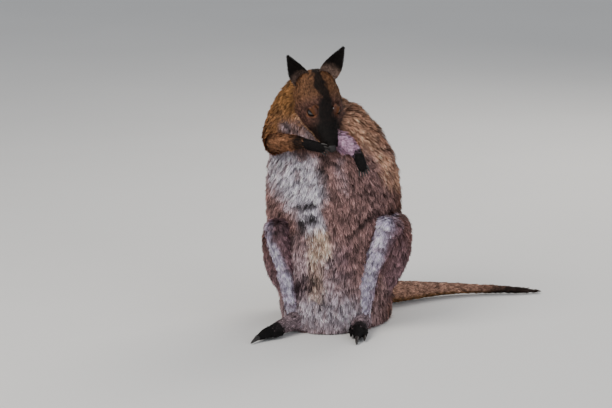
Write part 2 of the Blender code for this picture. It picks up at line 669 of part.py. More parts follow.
# ---- finishes ----
KINDS = ("thigh", "upper_arm", "ear", "shin", "forearm", "foot", "grooming_toe", "paw", "toe", "side_toe", "eye")
PAIR = {kind: (f"{kind}_right", f"{kind}_left") for kind in KINDS}
FINISHES = (
    ("coat_face", (0.075, 0.040, 0.025), 0.85, ("head", "jaw")),
    ("coat_neck", (0.300, 0.120, 0.050), 0.85, ("neck",)),
    ("coat_ear", (0.015, 0.010, 0.008), 0.80, PAIR["ear"]),
    ("coat_chest", (0.420, 0.370, 0.400), 0.85, ("chest",)),
    ("coat_belly", (0.300, 0.230, 0.220), 0.85, ("belly",)),
    ("coat_back", (0.150, 0.085, 0.070), 0.85, ("rump", *PAIR["thigh"], *PAIR["upper_arm"])),
    ("coat_shin", (0.420, 0.370, 0.400), 0.85, PAIR["shin"]),
    ("coat_arm", (0.260, 0.140, 0.090), 0.85, PAIR["forearm"]),
    ("coat_foot", (0.060, 0.040, 0.040), 0.85, (*PAIR["foot"], *PAIR["grooming_toe"])),
    ("coat_tail", (0.200, 0.110, 0.080), 0.85, ("tail_1", "tail_2", "tail_3", "tail_tip")),
    ("paw_black", (0.012, 0.008, 0.008), 0.75, (*PAIR["paw"], *PAIR["toe"], *PAIR["side_toe"])),
    ("nose_skin", (0.008, 0.007, 0.007), 0.45, ("nose",)),
    ("eye_glass", (0.006, 0.004, 0.003), 0.08, PAIR["eye"]),
    ("claw_horn", (0.020, 0.016, 0.014), 0.40, tuple(claw_spots)),
)
for finish_name, colour, roughness, names in FINISHES:
    finish = material(finish_name, colour, roughness)
    for name in names:
        dress(bodies[name], finish)
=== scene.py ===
"""Dresses a life-size red-necked wallaby: one skin, a coat of tufts, eyes, a nose pad and claws."""

from __future__ import annotations

import json
import logging
import math
from dataclasses import dataclass, field, replace
from enum import Enum
from typing import Any, Callable, Sequence

import bpy
import numpy as np
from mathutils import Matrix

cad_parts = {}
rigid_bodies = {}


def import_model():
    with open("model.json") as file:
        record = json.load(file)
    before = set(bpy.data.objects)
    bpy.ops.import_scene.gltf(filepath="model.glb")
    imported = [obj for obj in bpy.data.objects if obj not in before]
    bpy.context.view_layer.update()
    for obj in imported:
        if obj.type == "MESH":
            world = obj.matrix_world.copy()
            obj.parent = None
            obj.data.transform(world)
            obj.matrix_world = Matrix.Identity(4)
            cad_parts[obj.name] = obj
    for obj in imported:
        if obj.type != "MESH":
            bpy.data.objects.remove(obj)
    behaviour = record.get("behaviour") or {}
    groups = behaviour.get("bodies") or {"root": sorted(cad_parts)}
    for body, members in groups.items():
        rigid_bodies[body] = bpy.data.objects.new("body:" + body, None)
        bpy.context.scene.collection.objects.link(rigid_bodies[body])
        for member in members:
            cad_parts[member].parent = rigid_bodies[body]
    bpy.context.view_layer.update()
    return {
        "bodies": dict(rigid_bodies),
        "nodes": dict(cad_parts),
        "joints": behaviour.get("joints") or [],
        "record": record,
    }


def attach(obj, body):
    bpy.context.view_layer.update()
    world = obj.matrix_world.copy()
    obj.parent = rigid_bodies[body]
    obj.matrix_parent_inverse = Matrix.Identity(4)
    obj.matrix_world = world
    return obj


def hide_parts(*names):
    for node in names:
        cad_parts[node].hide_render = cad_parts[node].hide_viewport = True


LOG = logging.getLogger("wallaby")
Array = np.ndarray
Triple = tuple[float, float, float]


# ---------------------------------------------------------------- small maths
def unit(vectors: Any) -> Array:
    """Vectors scaled to length one."""
    vectors = np.asarray(vectors, float)
    return vectors / np.maximum(np.linalg.norm(vectors, axis=-1, keepdims=True), 1e-12)


def smoothstep(low: float, high: float, value: Array) -> Array:
    """Zero below low, one above high and an easy S between: 3 t^2 - 2 t^3."""
    t = np.clip((value - low) / (high - low), 0.0, 1.0)
    return t * t * (3.0 - 2.0 * t)


def paint(red: int, green: int, blue: int) -> Array:
    """A display colour of 0 to 255 as a linear one."""
    value = np.array((red, green, blue)) / 255.0
    return np.where(value < 0.04045, value / 12.92, ((value + 0.055) / 1.055) ** 2.4)


def lattice_noise(points: Array, size: float, seed: int) -> Array:
    """Smooth noise from -1 to 1: random values on a lattice of this size, by eased trilinear weights."""
    at = np.asarray(points) / size + seed * 17.13
    cell = np.floor(at).astype(np.int64)
    part = at - cell
    part = part * part * (3.0 - 2.0 * part)
    total = np.zeros(len(at))
    for corner in range(8):
        step = np.array([(corner >> axis) & 1 for axis in range(3)])
        key = cell + step
        mixed = (key[:, 0] * 73856093) ^ (key[:, 1] * 19349663) ^ (key[:, 2] * 83492791) ^ (seed * 2654435761)
        mixed = (mixed ^ (mixed >> 13)) * 1274126177
        value = ((mixed ^ (mixed >> 16)) & 0xFFFF) / 32767.5 - 1.0
        weight = np.prod(np.where(step == 1, part, 1.0 - part), axis=1)
        total += value * weight
    return total


def smooth_rows(rows: Any, count: int) -> Array:
    """Rows of sizes spread evenly along their path, each column on a cubic through the rows."""
    rows = np.asarray(rows, float)
    knots = np.concatenate([[0.0], np.cumsum(np.linalg.norm(np.diff(rows[:, :3], axis=0), axis=1))])
    slopes = np.gradient(rows, knots, axis=0)
    at = np.linspace(0.0, knots[-1], count)
    cell = np.clip(np.searchsorted(knots, at, side="right") - 1, 0, len(knots) - 2)
    span = (knots[cell + 1] - knots[cell])[:, None]
    t = (at - knots[cell])[:, None] / span
    low = (2 * t**3 - 3 * t**2 + 1) * rows[cell] + (t**3 - 2 * t**2 + t) * span * slopes[cell]
    return low + (3 * t**2 - 2 * t**3) * rows[cell + 1] + (t**3 - t**2) * span * slopes[cell + 1]


# ---------------------------------------------------------------- the body plan
@dataclass(frozen=True)
class HeadPlan:
    """Where the head lies and how it is turned."""

    crown: tuple[float, float, float] = (-0.032, -0.058, 0.507)
    nose_tip: Triple = (-0.004, -0.134, 0.370)
    roll: float = math.radians(-4.0)

    @property
    def way(self) -> Array:
        """From the crown to the nose."""
        return unit(np.subtract(self.nose_tip, self.crown))

    @property
    def up(self) -> Array:
        """Out of the forehead."""
        side = unit(np.cross(self.way, (0.0, 0.0, 1.0)))
        return np.cross(side, self.way) * math.cos(self.roll) - side * math.sin(self.roll)

    @property
    def side(self) -> Array:
        """To the animal's left."""
        return np.cross(self.way, self.up)

    def place(self, along: float, side: float, up: float) -> Array:
        """A point from the crown: along to the nose, to the animal's left, and up from the top line."""
        return np.asarray(self.crown) + self.way * along + self.side * side + self.up * up

    def local(self, points: Array) -> tuple[Array, Array, Array]:
        """Points as distances along, to the animal's left, and up from the top line."""
        offset = points - np.asarray(self.crown)
        return offset @ self.way, offset @ self.side, offset @ self.up


HEAD = HeadPlan()
BODY_TURN = math.radians(-18.0)
WIDE = np.array((math.cos(BODY_TURN), math.sin(BODY_TURN), 0.0))
FACING = np.array((math.sin(BODY_TURN), -math.cos(BODY_TURN), 0.0))
UP = np.array((0.0, 0.0, 1.0))


@dataclass
class Limb:
    """A rounded part of the flesh along a path.

    Each row holds the centre, the half width along across, the half height and, if given, the depth below.
    The coat's depth comes off every size, up to a share of it.
    """

    name: str
    rows: Sequence[Sequence[float]]
    across: Sequence[float]
    coat: float
    blend: float
    ends: tuple[float, float] = (0.6, 0.6)
    lie: float = 1.0
    drift: tuple[float, float, float] = (0.0, 0.0, 0.0)
    count: int = 12
    centres: Array = field(init=False)

    def __post_init__(self) -> None:
        """Works out the frames and the flesh's sizes along the path."""
        rows = np.asarray(self.rows, float)
        if rows.shape[1] == 5:
            rows = np.column_stack([rows, rows[:, 4]])
        rows = smooth_rows(rows, self.count)
        self.centres = rows[:, :3]
        self.sizes = rows[:, 3:] - np.minimum(self.coat, rows[:, 3:] * 0.42)
        self.along = unit(np.gradient(self.centres, axis=0))
        across = np.asarray(self.across, float)
        self.side = unit(across - (self.along @ across)[:, None] * self.along)
        self.up = np.cross(self.along, self.side)
        self.cap = (self.ends[0] * self.sizes[0, 0], self.ends[1] * self.sizes[-1, 0])

    def reach(self, margin: float) -> tuple[Array, Array]:
        """The corners of a box that holds the limb with a margin."""
        far = self.sizes.max() + max(self.cap) + margin
        return self.centres.min(0) - far, self.centres.max(0) + far

    def measure(self, points: Array) -> tuple[Array, Array, Array]:
        """The distance to the surface, the share of the path and the turn around it, for each point.

        The distance is |q| (1 - 1/rho), where q is the offset from the nearest place on the path and rho is
        its length in units of the oval there.
        """
        best = np.full(len(points), 1e3)
        share = np.zeros(len(points))
        turn = np.zeros(len(points))
        last = len(self.centres) - 2
        for number in range(last + 1):
            start, step = self.centres[number], self.centres[number + 1] - self.centres[number]
            t = np.clip((points - start) @ step / (step @ step), 0.0, 1.0)
            q = points - start - t[:, None] * step
            size = self.sizes[number] + t[:, None] * (self.sizes[number + 1] - self.sizes[number])
            side = q @ unit(self.side[number] + self.side[number + 1])
            up = q @ unit(self.up[number] + self.up[number + 1])
            way = q @ unit(step)
            cap = np.where(way < 0, self.cap[0], self.cap[1])
            middle = np.minimum(size[:, 0], size[:, 1])
            joint = ((way < 0) & (number > 0)) | ((way > 0) & (number < last))
            cap = np.where(joint, middle, cap)
            height = np.where(up > 0, size[:, 1], size[:, 2])
            rho = np.sqrt((side / size[:, 0]) ** 2 + (up / height) ** 2 + (way / np.maximum(cap, 1e-4)) ** 2)
            length = np.sqrt(side**2 + up**2 + way**2)
            gap = length * (1.0 - 1.0 / np.maximum(rho, 1e-3))
            gap = np.where(rho < 0.05, -middle, gap)
            nearer = gap < best
            best = np.where(nearer, gap, best)
            beyond = (number == 0) & (way < 0) | (number == last) & (way > 0)
            past = np.where(beyond, way / np.linalg.norm(step), 0.0)
            share = np.where(nearer, (number + t + past) / (last + 1), share)
            turn = np.where(nearer, np.arctan2(up, side), turn)
        return best, share, turn

    def flow(self, share: Array) -> Array:
        """The way the hair lies at this share of the path."""
        at = np.clip(share * (self.count - 1), 0, self.count - 1)
        stations = np.arange(self.count)
        way = np.stack([np.interp(at, stations, self.along[:, axis]) for axis in range(3)], axis=1)
        return unit(way * self.lie + np.asarray(self.drift))


def head_rows() -> list[tuple[float, ...]]:
    """Head stations, as far below the top line as each is tall."""
    levels = (
        (0.006, 0.038, 0.032, 0.036),
        (0.026, 0.0465, 0.040, 0.046),
        (0.050, 0.0470, 0.041, 0.053),
        (0.074, 0.0420, 0.037, 0.052),
        (0.096, 0.0325, 0.030, 0.043),
        (0.118, 0.0245, 0.0235, 0.032),
        (0.136, 0.0195, 0.0185, 0.024),
        (0.150, 0.0135, 0.0130, 0.015),
    )
    return [(*HEAD.place(along, 0.0, -above), half, below, above) for along, half, above, below in levels]


def trunk_rows() -> list[tuple[float, ...]]:
    """Trunk levels: each an oval with its own reach to the back and to the front."""
    levels = (
        (0.000, 0.006, 0.080, 0.128, 0.090),
        (0.012, 0.006, 0.103, 0.146, 0.116),
        (0.045, 0.004, 0.115, 0.153, 0.136),
        (0.100, 0.002, 0.124, 0.159, 0.150),
        (0.160, 0.001, 0.130, 0.160, 0.154),
        (0.220, -0.002, 0.138, 0.155, 0.147),
        (0.270, -0.004, 0.139, 0.142, 0.132),
        (0.310, -0.007, 0.133, 0.128, 0.114),
        (0.350, -0.021, 0.120, 0.112, 0.093),
        (0.380, -0.042, 0.104, 0.096, 0.076),
        (0.400, -0.050, 0.080, 0.074, 0.062),
        (0.412, -0.052, 0.050, 0.046, 0.040),
    )
    return [(x, 0.0, z, half, back, front) for z, x, half, front, back in levels]


# Stations: centre x, y, z, half width, half height
STATIONS: dict[str, Sequence[Sequence[float]]] = {
    "neck": (
        (-0.056, 0.000, 0.352, 0.060, 0.056),
        (-0.061, 0.001, 0.398, 0.079, 0.066),
        (-0.060, -0.004, 0.440, 0.061, 0.055),
        (-0.053, -0.014, 0.464, 0.046, 0.043),
        (-0.046, -0.026, 0.481, 0.034, 0.034),
    ),
    "upper_arm_right": (
        (-0.088, 0.005, 0.400, 0.048, 0.048),
        (-0.112, -0.030, 0.385, 0.036, 0.036),
        (-0.122, -0.062, 0.372, 0.025, 0.026),
    ),
    "forearm_right": (
        (-0.122, -0.070, 0.371, 0.022, 0.023),
        (-0.097, -0.096, 0.376, 0.018, 0.019),
        (-0.070, -0.112, 0.379, 0.014, 0.014),
    ),
    "paw_right": (
        (-0.066, -0.114, 0.379, 0.012, 0.011),
        (-0.050, -0.121, 0.376, 0.014, 0.010),
        (-0.030, -0.128, 0.372, 0.013, 0.009),
    ),
    "upper_arm_left": (
        (0.006, 0.000, 0.378, 0.046, 0.044),
        (0.006, -0.040, 0.378, 0.034, 0.034),
        (0.000, -0.074, 0.375, 0.025, 0.025),
    ),
    "forearm_left": (
        (0.002, -0.084, 0.380, 0.022, 0.022),
        (0.024, -0.108, 0.374, 0.018, 0.018),
        (0.039, -0.126, 0.363, 0.014, 0.014),
    ),
    "paw_left": (
        (0.041, -0.129, 0.360, 0.012, 0.011),
        (0.046, -0.137, 0.349, 0.0135, 0.010),
        (0.051, -0.142, 0.336, 0.0125, 0.009),
    ),
    "thigh_right": (
        (-0.050, 0.085, 0.105, 0.060, 0.085),
        (-0.080, 0.030, 0.125, 0.058, 0.088),
        (-0.098, -0.035, 0.155, 0.050, 0.076),
        (-0.109, -0.085, 0.192, 0.040, 0.048),
    ),
    "shin_right": (
        (-0.114, -0.106, 0.208, 0.028, 0.034),
        (-0.111, -0.114, 0.175, 0.025, 0.030),
        (-0.100, -0.112, 0.130, 0.022, 0.028),
        (-0.091, -0.108, 0.083, 0.021, 0.026),
        (-0.081, -0.098, 0.038, 0.021, 0.024),
    ),
    "foot_right": (
        (-0.040, -0.072, 0.021, 0.017, 0.020),
        (-0.078, -0.115, 0.023, 0.019, 0.022),
        (-0.105, -0.147, 0.019, 0.018, 0.018),
        (-0.121, -0.165, 0.016, 0.017, 0.016),
    ),
    "toe_right": (
        (-0.123, -0.166, 0.015, 0.0125, 0.015),
        (-0.139, -0.183, 0.0125, 0.0115, 0.0125),
        (-0.149, -0.194, 0.0095, 0.0085, 0.0095),
    ),
    "side_toe_right": (
        (-0.131, -0.152, 0.012, 0.0070, 0.0115),
        (-0.144, -0.166, 0.010, 0.0065, 0.0095),
        (-0.150, -0.173, 0.008, 0.005, 0.0075),
    ),
    "grooming_toe_right": (
        (-0.1035, -0.1615, 0.0115, 0.0055, 0.0090),
        (-0.1150, -0.1745, 0.0095, 0.0050, 0.0075),
        (-0.1205, -0.1805, 0.0075, 0.0040, 0.0060),
    ),
    "thigh_left": (
        (0.060, 0.095, 0.105, 0.060, 0.082),
        (0.086, 0.038, 0.125, 0.060, 0.088),
        (0.104, -0.028, 0.155, 0.052, 0.078),
        (0.110, -0.080, 0.195, 0.042, 0.050),
    ),
    "shin_left": (
        (0.104, -0.104, 0.212, 0.029, 0.034),
        (0.091, -0.110, 0.176, 0.026, 0.031),
        (0.072, -0.106, 0.130, 0.023, 0.028),
        (0.058, -0.101, 0.083, 0.021, 0.026),
        (0.052, -0.092, 0.038, 0.021, 0.024),
    ),
    "foot_left": (
        (0.058, -0.030, 0.021, 0.017, 0.020),
        (0.053, -0.082, 0.023, 0.019, 0.022),
        (0.049, -0.130, 0.019, 0.018, 0.018),
        (0.046, -0.160, 0.016, 0.017, 0.016),
    ),
    "toe_left": (
        (0.044, -0.162, 0.015, 0.0125, 0.015),
        (0.042, -0.183, 0.0125, 0.0115, 0.0125),
        (0.041, -0.195, 0.0095, 0.0085, 0.0095),
    ),
    "side_toe_left": (
        (0.0575, -0.154, 0.012, 0.0070, 0.0115),
        (0.0565, -0.173, 0.010, 0.0065, 0.0095),
        (0.0560, -0.182, 0.008, 0.005, 0.0075),
    ),
    "grooming_toe_left": (
        (0.0310, -0.1470, 0.0115, 0.0055, 0.0090),
        (0.0295, -0.1650, 0.0095, 0.0050, 0.0075),
        (0.0290, -0.1720, 0.0075, 0.0040, 0.0060),
    ),
    "tail": (
        (0.006, 0.080, 0.050, 0.048, 0.052),
        (0.060, 0.098, 0.035, 0.036, 0.037),
        (0.120, 0.110, 0.0265, 0.0275, 0.0280),
        (0.170, 0.138, 0.0220, 0.0225, 0.0230),
        (0.215, 0.163, 0.0182, 0.0185, 0.0190),
        (0.262, 0.180, 0.0150, 0.0155, 0.0160),
        (0.312, 0.188, 0.0122, 0.0128, 0.0132),
        (0.362, 0.191, 0.0098, 0.0103, 0.0108),
        (0.405, 0.193, 0.0066, 0.0070, 0.0076),
        (0.426, 0.197, 0.0040, 0.0042, 0.0048),
    ),
}

FOOT_WIDE = {"right": (1.0, -0.5, 0.0), "left": (1.0, 0.0, 0.0)}


@dataclass(frozen=True)
class Pelt:
    """How the hair grows on one part: its length, lift and width, and how it gathers into locks."""

    length: float
    lift: float
    width: float
    lock: float
    gather: float


PELTS: dict[str, Pelt] = {
    "trunk": Pelt(0.026, 44.0, 0.0012, 0.0075, 0.50),
    "neck": Pelt(0.017, 34.0, 0.0011, 0.006, 0.42),
    "head": Pelt(0.0075, 24.0, 0.0008, 0.0035, 0.35),
    "ear": Pelt(0.0034, 16.0, 0.0008, 0.003, 0.20),
    "upper_arm": Pelt(0.018, 34.0, 0.0011, 0.006, 0.42),
    "forearm": Pelt(0.0135, 34.0, 0.0009, 0.005, 0.42),
    "paw": Pelt(0.0046, 18.0, 0.0010, 0.004, 0.30),
    "thigh": Pelt(0.022, 42.0, 0.0012, 0.007, 0.48),
    "shin": Pelt(0.016, 36.0, 0.0010, 0.006, 0.42),
    "foot": Pelt(0.0075, 20.0, 0.0012, 0.005, 0.35),
    "toe": Pelt(0.0048, 18.0, 0.0010, 0.004, 0.30),
    "tail": Pelt(0.0110, 28.0, 0.0010, 0.005, 0.40),
}


# The forearm comes before the ear and the head before the ear, as one name can hold the other
PELTS_BY_LENGTH = tuple(sorted(PELTS, key=len, reverse=True))


def pelt_of(limb: str) -> str:
    """The pelt that a limb wears: its name with the side and the number left off."""
    for kind in PELTS_BY_LENGTH:
        if kind in limb:
            return kind
    raise KeyError(limb)


def limb(name: str, *sizes: Any, **more: Any) -> Limb:
    """A limb on the stations that carry its name."""
    return Limb(name, STATIONS[name], *sizes, **more)


def body_plan() -> list[Limb]:
    """Every limb, in the order in which the flesh is joined."""
    plan = [
        Limb("trunk", trunk_rows(), WIDE, 0.014, 0.0, (0.0, 0.3), -1.0, (0.0, 0.0, -0.15), 16),
        limb("neck", WIDE, 0.010, 0.020, (0.5, 0.5), -1.0, (0.0, 0.2, -0.3)),
    ]
    for side in ("right", "left"):
        wide = FOOT_WIDE[side]
        plan += [
            limb(f"thigh_{side}", WIDE, 0.012, 0.016, (0.6, 0.7), 0.35, (0.0, 0.35, -0.75)),
            limb(f"shin_{side}", WIDE, 0.009, 0.010, (0.8, 0.5), 1.0, (0.0, 0.0, -0.2)),
            limb(f"foot_{side}", wide, 0.004, 0.010, (0.9, 0.5)),
            limb(f"toe_{side}", wide, 0.0025, 0.004, (0.3, 0.8), count=6),
            limb(f"side_toe_{side}", wide, 0.002, 0.003, (0.6, 0.8), count=6),
            limb(f"grooming_toe_{side}", wide, 0.002, 0.003, (0.6, 0.8), count=6),
        ]
    plan += [
        limb("upper_arm_right", UP, 0.009, 0.016, (0.6, 0.5)),
        limb("upper_arm_left", UP, 0.009, 0.016, (0.6, 0.5)),
        limb("forearm_right", UP, 0.004, 0.006, (0.5, 0.5)),
        limb("forearm_left", (0.5, 0.0, 1.0), 0.004, 0.006, (0.5, 0.5)),
        limb("paw_right", (0.25, -0.35, 0.90), 0.0025, 0.004, (0.3, 0.9), count=8),
        limb("paw_left", (0.90, -0.30, 0.25), 0.0025, 0.004, (0.3, 0.9), count=8),
        limb("tail", UP, 0.006, 0.014, (0.5, 2.2), count=24),
        Limb("head", head_rows(), HEAD.side, 0.0042, 0.004, (0.6, 0.5), -1.0),
    ]
    return plan


# ---------------------------------------------------------------- the skin's surface
@dataclass
class Skin:
    """One skin over all the limbs.

    The flesh is a field on a lattice: the smooth least of the limbs' distances. Its zero surface is found by
    surface nets: one point in each lattice cell that the surface crosses, at the mean of the crossings on the
    cell's edges, and one face across each lattice edge that the surface crosses.
    """

    pitch: float = 0.0028
    low: tuple[float, float, float] = (-0.19, -0.25, -0.012)
    high: tuple[float, float, float] = (0.445, 0.245, 0.525)
    floor: float = 0.0035
    limbs: list[Limb] = field(default_factory=body_plan)

    def build(self) -> None:
        """Works out the field, the surface and what each point of it wears."""
        self.lattice()
        self.nets()
        self.settle()
        self.label()

    def lattice(self) -> None:
        """Fills the lattice with the smooth least of the limbs' distances, cut by the floor."""
        shape = tuple(int(round((b - a) / self.pitch)) + 1 for a, b in zip(self.low, self.high))
        self.values = np.full(shape, 0.05, np.float32)
        origin = np.asarray(self.low)
        for limb in self.limbs:
            near, far = limb.reach(0.030)
            first = np.clip(np.floor((near - origin) / self.pitch).astype(int), 0, np.array(shape) - 1)
            last = np.clip(np.ceil((far - origin) / self.pitch).astype(int) + 1, 1, np.array(shape))
            axes = [origin[axis] + self.pitch * np.arange(first[axis], last[axis]) for axis in range(3)]
            points = np.stack(np.meshgrid(*axes, indexing="ij"), axis=-1).reshape(-1, 3)
            block = tuple(slice(a, b) for a, b in zip(first, last))
            ours = limb.measure(points)[0].reshape(self.values[block].shape)
            theirs = self.values[block]
            width = max(limb.blend, 1e-5)
            share = np.clip(0.5 + 0.5 * (theirs - ours) / width, 0.0, 1.0)
            self.values[block] = theirs + share * (ours - theirs) - width * share * (1.0 - share)
        heights = origin[2] + self.pitch * np.arange(shape[2])
        self.values = np.maximum(self.values, (self.floor - heights)[None, None, :].astype(np.float32))
        self.carve()

    def carve(self) -> None:
        """Hollows the field for the eyes."""
        origin = np.asarray(self.low)
        for centre, radius in EyeBall.sockets():
            first = np.floor((centre - 0.02 - origin) / self.pitch).astype(int)
            last = np.ceil((centre + 0.02 - origin) / self.pitch).astype(int)
            axes = [origin[axis] + self.pitch * np.arange(first[axis], last[axis]) for axis in range(3)]
            grid = np.stack(np.meshgrid(*axes, indexing="ij"), axis=-1)
            hollow = radius - np.linalg.norm(grid - centre, axis=-1)
            block = tuple(slice(a, b) for a, b in zip(first, last))
            self.values[block] = np.maximum(self.values[block], hollow)

    def nets(self) -> None:
        """Surface nets: points in the crossed cells, faces across the crossed edges."""
        values = self.values
        inside = values < 0
        cells = tuple(n - 1 for n in values.shape)
        corners = [(c & 1, (c >> 1) & 1, (c >> 2) & 1) for c in range(8)]
        count = np.zeros(cells, np.int8)
        for a, b, c in corners:
            count += inside[a : a + cells[0], b : b + cells[1], c : c + cells[2]]
        crossed = (count > 0) & (count < 8)
        number = np.full(cells, -1, np.int64)
        where = np.argwhere(crossed)
        number[crossed] = np.arange(len(where))
        at = [values[where[:, 0] + a, where[:, 1] + b, where[:, 2] + c] for a, b, c in corners]
        total, hits = np.zeros((len(where), 3)), np.zeros(len(where))
        for one in range(8):
            for axis in range(3):
                two = one | (1 << axis)
                if two == one:
                    continue
                change = (at[one] < 0) != (at[two] < 0)
                share = at[one] / np.where(change, at[one] - at[two], 1.0)
                spot = np.tile(np.asarray(corners[one], float), (len(where), 1))
                spot[:, axis] += share
                total += np.where(change[:, None], spot, 0.0)
                hits += change
        self.points = np.asarray(self.low) + self.pitch * (where + total / hits[:, None])
        faces = []
        for axis in range(3):
            b, c = (axis + 1) % 3, (axis + 2) % 3
            here = [slice(1, -1)] * 3
            there = [slice(1, -1)] * 3
            here[axis], there[axis] = slice(0, -1), slice(1, None)
            change = inside[tuple(here)] != inside[tuple(there)]
            spots = np.argwhere(change)
            spots[:, b] += 1
            spots[:, c] += 1
            rising = inside[tuple(spots.T)]
            ring = []
            for back_b, back_c in ((1, 1), (0, 1), (0, 0), (1, 0)):
                cell = spots.copy()
                cell[:, b] -= back_b
                cell[:, c] -= back_c
                ring.append(number[tuple(cell.T)])
            quad = np.stack(ring, axis=1)
            faces.append(np.where(rising[:, None], quad, quad[:, ::-1]))
        self.quads = np.concatenate(faces)

    def look_up(self, grid: Array, points: Array) -> Array:
        """The lattice's values at these points, by trilinear weights."""
        at = (points - np.asarray(self.low)) / self.pitch
        cell = np.clip(np.floor(at).astype(int), 0, np.array(grid.shape[:3]) - 2)
        part = at - cell
        total = 0.0
        for corner in range(8):
            step = np.array([(corner >> axis) & 1 for axis in range(3)])
            weight = np.prod(np.where(step == 1, part, 1.0 - part), axis=1)
            value = grid[cell[:, 0] + step[0], cell[:, 1] + step[1], cell[:, 2] + step[2]]
            total = total + (weight[:, None] * value if value.ndim == 2 else weight * value)
        return total

    def settle(self) -> None:
        """Evens the points out toward their neighbours' mean; the normals follow the field's slope."""
        edges = np.concatenate([self.quads[:, [k, (k + 1) % 4]] for k in range(4)])
        degree = np.bincount(edges.ravel(), minlength=len(self.points)).astype(float)
        for pull in (0.6, 0.6, 0.5):
            mean = np.zeros_like(self.points)
            for axis in range(3):
                mean[:, axis] = np.bincount(
                    edges.ravel(), self.points[edges[:, ::-1].ravel(), axis], minlength=len(self.points)
                )
            self.points += pull * (mean / degree[:, None] - self.points)
        slope = np.stack(np.gradient(self.values, self.pitch), axis=-1)
        corners = self.points[self.quads]
        face_way = np.cross(corners[:, 2] - corners[:, 0], corners[:, 3] - corners[:, 1])
        way = np.zeros_like(self.points)
        for axis in range(3):
            spread = np.repeat(face_way[:, axis], 4)
            way[:, axis] = np.bincount(self.quads.ravel(), spread, minlength=len(self.points))
        self.normals = unit(unit(way) + 0.6 * unit(self.look_up(slope, self.points)))

    def label(self) -> None:
        """Finds for each point its nearest limb, its place on it, and the lie of the hair."""
        size = len(self.points)
        gaps = np.full((size, len(self.limbs)), 1.0)
        share = np.zeros((size, len(self.limbs)))
        turn = np.zeros((size, len(self.limbs)))
        for number, limb in enumerate(self.limbs):
            near, far = limb.reach(0.030)
            here = np.all((self.points > near) & (self.points < far), axis=1)
            gaps[here, number], share[here, number], turn[here, number] = limb.measure(self.points[here])
        self.limb = gaps.argmin(axis=1)
        pick = np.arange(size), self.limb
        self.share, self.turn = share[pick], turn[pick]
        self.shares, self.turns = share, turn
        weights = np.exp(-(gaps - gaps.min(axis=1, keepdims=True)) / 0.008)
        weights[gaps > 0.9] = 0.0
        weights /= weights.sum(axis=1, keepdims=True)
        self.weights = weights
        lie = np.zeros_like(self.points)
        for number, limb in enumerate(self.limbs):
            lie += weights[:, number : number + 1] * limb.flow(share[:, number])
        self.lie = self.comb(lie)

    def comb(self, lie: Array) -> Array:
        """Lays directions flat on the skin."""
        flat = lie - np.sum(lie * self.normals, axis=1, keepdims=True) * self.normals
        return unit(flat)


# ---------------------------------------------------------------- surfaces and their markings
@dataclass
class Hide:
    """A surface that hair grows on: points, faces, the lie of the hair and each point's place on its part."""

    names: list[str]
    points: Array
    quads: Array
    normals: Array
    lie: Array
    part: Array
    share: Array
    turn: Array

    @staticmethod
    def joined(pieces: Sequence["Hide"]) -> "Hide":
        """Several surfaces as one, with their parts numbered through."""
        names: list[str] = []
        parts, quads, offset = [], [], 0
        for piece in pieces:
            parts.append(piece.part + len(names))
            quads.append(piece.quads + offset)
            names += piece.names
            offset += len(piece.points)
        keys = ("points", "normals", "lie", "share", "turn")
        whole = {key: np.concatenate([getattr(piece, key) for piece in pieces]) for key in keys}
        return Hide(names=names, quads=np.concatenate(quads), part=np.concatenate(parts), **whole)


class Tone(Enum):
    """The colours of the coat, as they look in plain light."""

    GREY_BROWN = (146, 112, 108)
    BACK = (112, 76, 64)
    MAUVE = (128, 98, 104)
    # MAUVE_DARK is only used for the painted shadow in the groin.
    MAUVE_DARK = (46, 32, 38)
    # DARK is near black; most marks that use it are painted shadow in folds, creases and partings.
    DARK = (24, 16, 16)
    WHITE = (222, 214, 228)
    PALE = (178, 154, 160)
    LAVENDER = (224, 212, 240)
    CREAM = (240, 204, 180)
    # GOLD is gold fur lightened into a painted highlight, used for the lit shoulder ridge.
    GOLD = (212, 162, 132)
    RUFOUS = (130, 90, 52)
    FACE = (86, 58, 50)
    FACE_DARK = (14, 9, 7)
    FOREHEAD = (114, 78, 52)
    EYE_PATCH = (118, 70, 38)
    LIP = (180, 138, 108)
    CHIN = (164, 140, 140)
    EAR_BLACK = (24, 16, 13)
    EAR_PALE = (184, 152, 136)
    BLACK = (14, 10, 10)
    FOOT = (58, 45, 47)
    TAIL = (170, 128, 108)
    TAIL_UNDER = (136, 98, 64)
    FOREARM = (142, 98, 70)
    INNER_ARM = (190, 150, 176)

    @property
    def linear(self) -> Array:
        """The colour as linear light."""
        return paint(*self.value)


@dataclass(frozen=True)
class Mark:
    """A marking on the front: a soft band along a line of places, each an x and a leaning height."""

    name: str
    line: tuple[tuple[float, float], ...]
    width: float
    soft: float
    tone: Tone
    strength: float
    wearers: tuple[str, ...] = ("trunk", "neck", "upper_arm", "thigh", "shin")

    def weight(self, spots: Array, front: Array) -> Array:
        """How much each point takes of the marking's colour.

        The weight falls from the strength to zero as the distance to the line passes the width.
        """
        best = np.full(len(spots), 1e3)
        ends = self.line if len(self.line) > 1 else self.line * 2
        for start, end in zip(ends, ends[1:]):
            a, step = np.asarray(start), np.subtract(end, start)
            t = np.clip((spots - a) @ step / max(float(step @ step), 1e-9), 0.0, 1.0)
            best = np.minimum(best, np.linalg.norm(spots - a - t[:, None] * step, axis=1))
        outside = smoothstep(self.width - self.soft, self.width + self.soft, best)
        return self.strength * front * (1.0 - outside)
